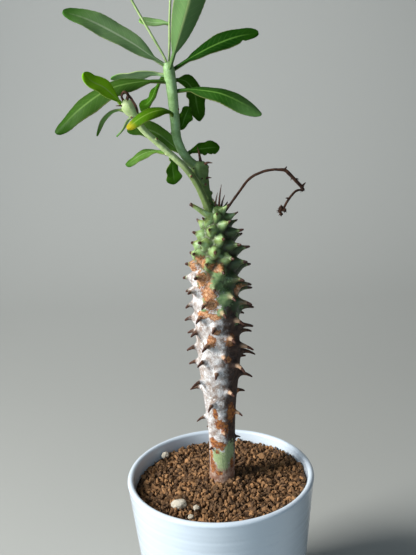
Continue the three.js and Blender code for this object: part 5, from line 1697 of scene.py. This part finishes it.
def build_stage(settings):
    build_backdrop(settings)
    key = soft_box("key light", 0.35, 0.5, spread=115)
    add_light(key, (-0.76, -0.25, 0.62), (0, 0, 0.18), settings.key, (1.0, 0.98, 0.94))
    fill = soft_box("fill light", 0.8, 0.8)
    add_light(fill, (-0.25, -1.0, 0.4), (0, 0, 0.16), settings.fill, (0.5, 0.78, 1.0))
    back = wide_spot("backdrop light", 110, 0.2)
    add_light(back, (-0.25, 0.3, 1.2), (-0.1, 1.1, 0.5), settings.back, (1, 1, 1))
    world = bpy.data.worlds.new("soft room")
    world.use_nodes = True
    sky = world.node_tree.nodes["Background"].inputs
    sky["Color"].default_value = (0.85, 0.92, 1.0, 1)
    seen = add_node(world.node_tree, "ShaderNodeLightPath").outputs["Is Camera Ray"]
    strength = between(world.node_tree, seen, 0.0, 1.0, settings.sky, SEEN_SKY)
    world.node_tree.links.new(strength, sky["Strength"])
    bpy.context.scene.world = world
    bpy.context.scene.view_settings.view_transform = "Standard"
    add_camera()


# Operators


class PLANT_OT_pot(bpy.types.Operator):
    """Throw the white glazed pot, with its drain holes"""

    bl_idname = "plant.pot"
    bl_label = "Pot"

    def execute(self, context):
        build_pot(context.scene.plant_pot)
        return {"FINISHED"}


class PLANT_OT_soil(bpy.types.Operator):
    """Fill the pot with loose clay grit and set the pumice stones on it"""

    bl_idname = "plant.soil"
    bl_label = "Soil and Pumice"

    def execute(self, context):
        build_soil(context.scene.plant_soil)
        return {"FINISHED"}


class PLANT_OT_stem(bpy.types.Operator):
    """Grow the stem with its spiral of hooked tubercles"""

    bl_idname = "plant.stem"
    bl_label = "Stem"

    def execute(self, context):
        build_stem(context.scene.plant_stem)
        return {"FINISHED"}


class PLANT_OT_shoots(bpy.types.Operator):
    """Grow the two shoots that leave the apex"""

    bl_idname = "plant.shoots"
    bl_label = "Shoots"

    def execute(self, context):
        build_shoots(context.scene.plant_growth)
        return {"FINISHED"}


class PLANT_OT_dry_stalk(bpy.types.Operator):
    """Arch the dry flower stalk over to the right"""

    bl_idname = "plant.dry_stalk"
    bl_label = "Dry Stalk"

    def execute(self, context):
        build_dry_stalk(context.scene.plant_growth)
        return {"FINISHED"}


class PLANT_OT_leaves(bpy.types.Operator):
    """Open every leaf from its shoot"""

    bl_idname = "plant.leaves"
    bl_label = "Leaves"

    def execute(self, context):
        build_leaves(context.scene.plant_growth)
        return {"FINISHED"}


class PLANT_OT_flower_stalks(bpy.types.Operator):
    """Raise the two green flower stalks with their bracts"""

    bl_idname = "plant.flower_stalks"
    bl_label = "Flower Stalks"

    def execute(self, context):
        build_flower_stalks(context.scene.plant_growth)
        return {"FINISHED"}


class PLANT_OT_stage(bpy.types.Operator):
    """Set up the plain floor, the soft lights and the camera"""

    bl_idname = "plant.stage"
    bl_label = "Stage"

    def execute(self, context):
        build_stage(context.scene.plant_stage)
        return {"FINISHED"}


OPERATORS = (
    PLANT_OT_pot, PLANT_OT_soil, PLANT_OT_stem, PLANT_OT_shoots, PLANT_OT_dry_stalk, PLANT_OT_leaves,
    PLANT_OT_flower_stalks, PLANT_OT_stage,
)


class PLANT_PT_panel(bpy.types.Panel):
    """Lists the pieces of the plant"""

    bl_label = "Potted Euphorbia"
    bl_space_type = "VIEW_3D"
    bl_region_type = "UI"
    bl_category = "Euphorbia"

    def draw(self, context):
        for operator in OPERATORS:
            self.layout.operator(operator.bl_idname)
        for name, settings in SETTINGS.items():
            box = self.layout.box()
            for label in settings.__annotations__:
                box.prop(getattr(context.scene, name), label)


SETTINGS = {
    "plant_pot": PotSettings, "plant_soil": SoilSettings, "plant_stem": StemSettings,
    "plant_growth": GrowthSettings, "plant_stage": StageSettings,
}


def register():
    for kind in (*SETTINGS.values(), *OPERATORS, PLANT_PT_panel):
        bpy.utils.register_class(kind)
    for name, settings in SETTINGS.items():
        setattr(bpy.types.Scene, name, PointerProperty(type=settings))


def unregister():
    for name in SETTINGS:
        delattr(bpy.types.Scene, name)
    for kind in reversed((*SETTINGS.values(), *OPERATORS, PLANT_PT_panel)):
        bpy.utils.unregister_class(kind)


def main():
    register()
    make_groups()
    for operator in OPERATORS:
        kind, name = operator.bl_idname.split(".")
        getattr(getattr(bpy.ops, kind), name)()


if __name__ == "__main__":
    main()
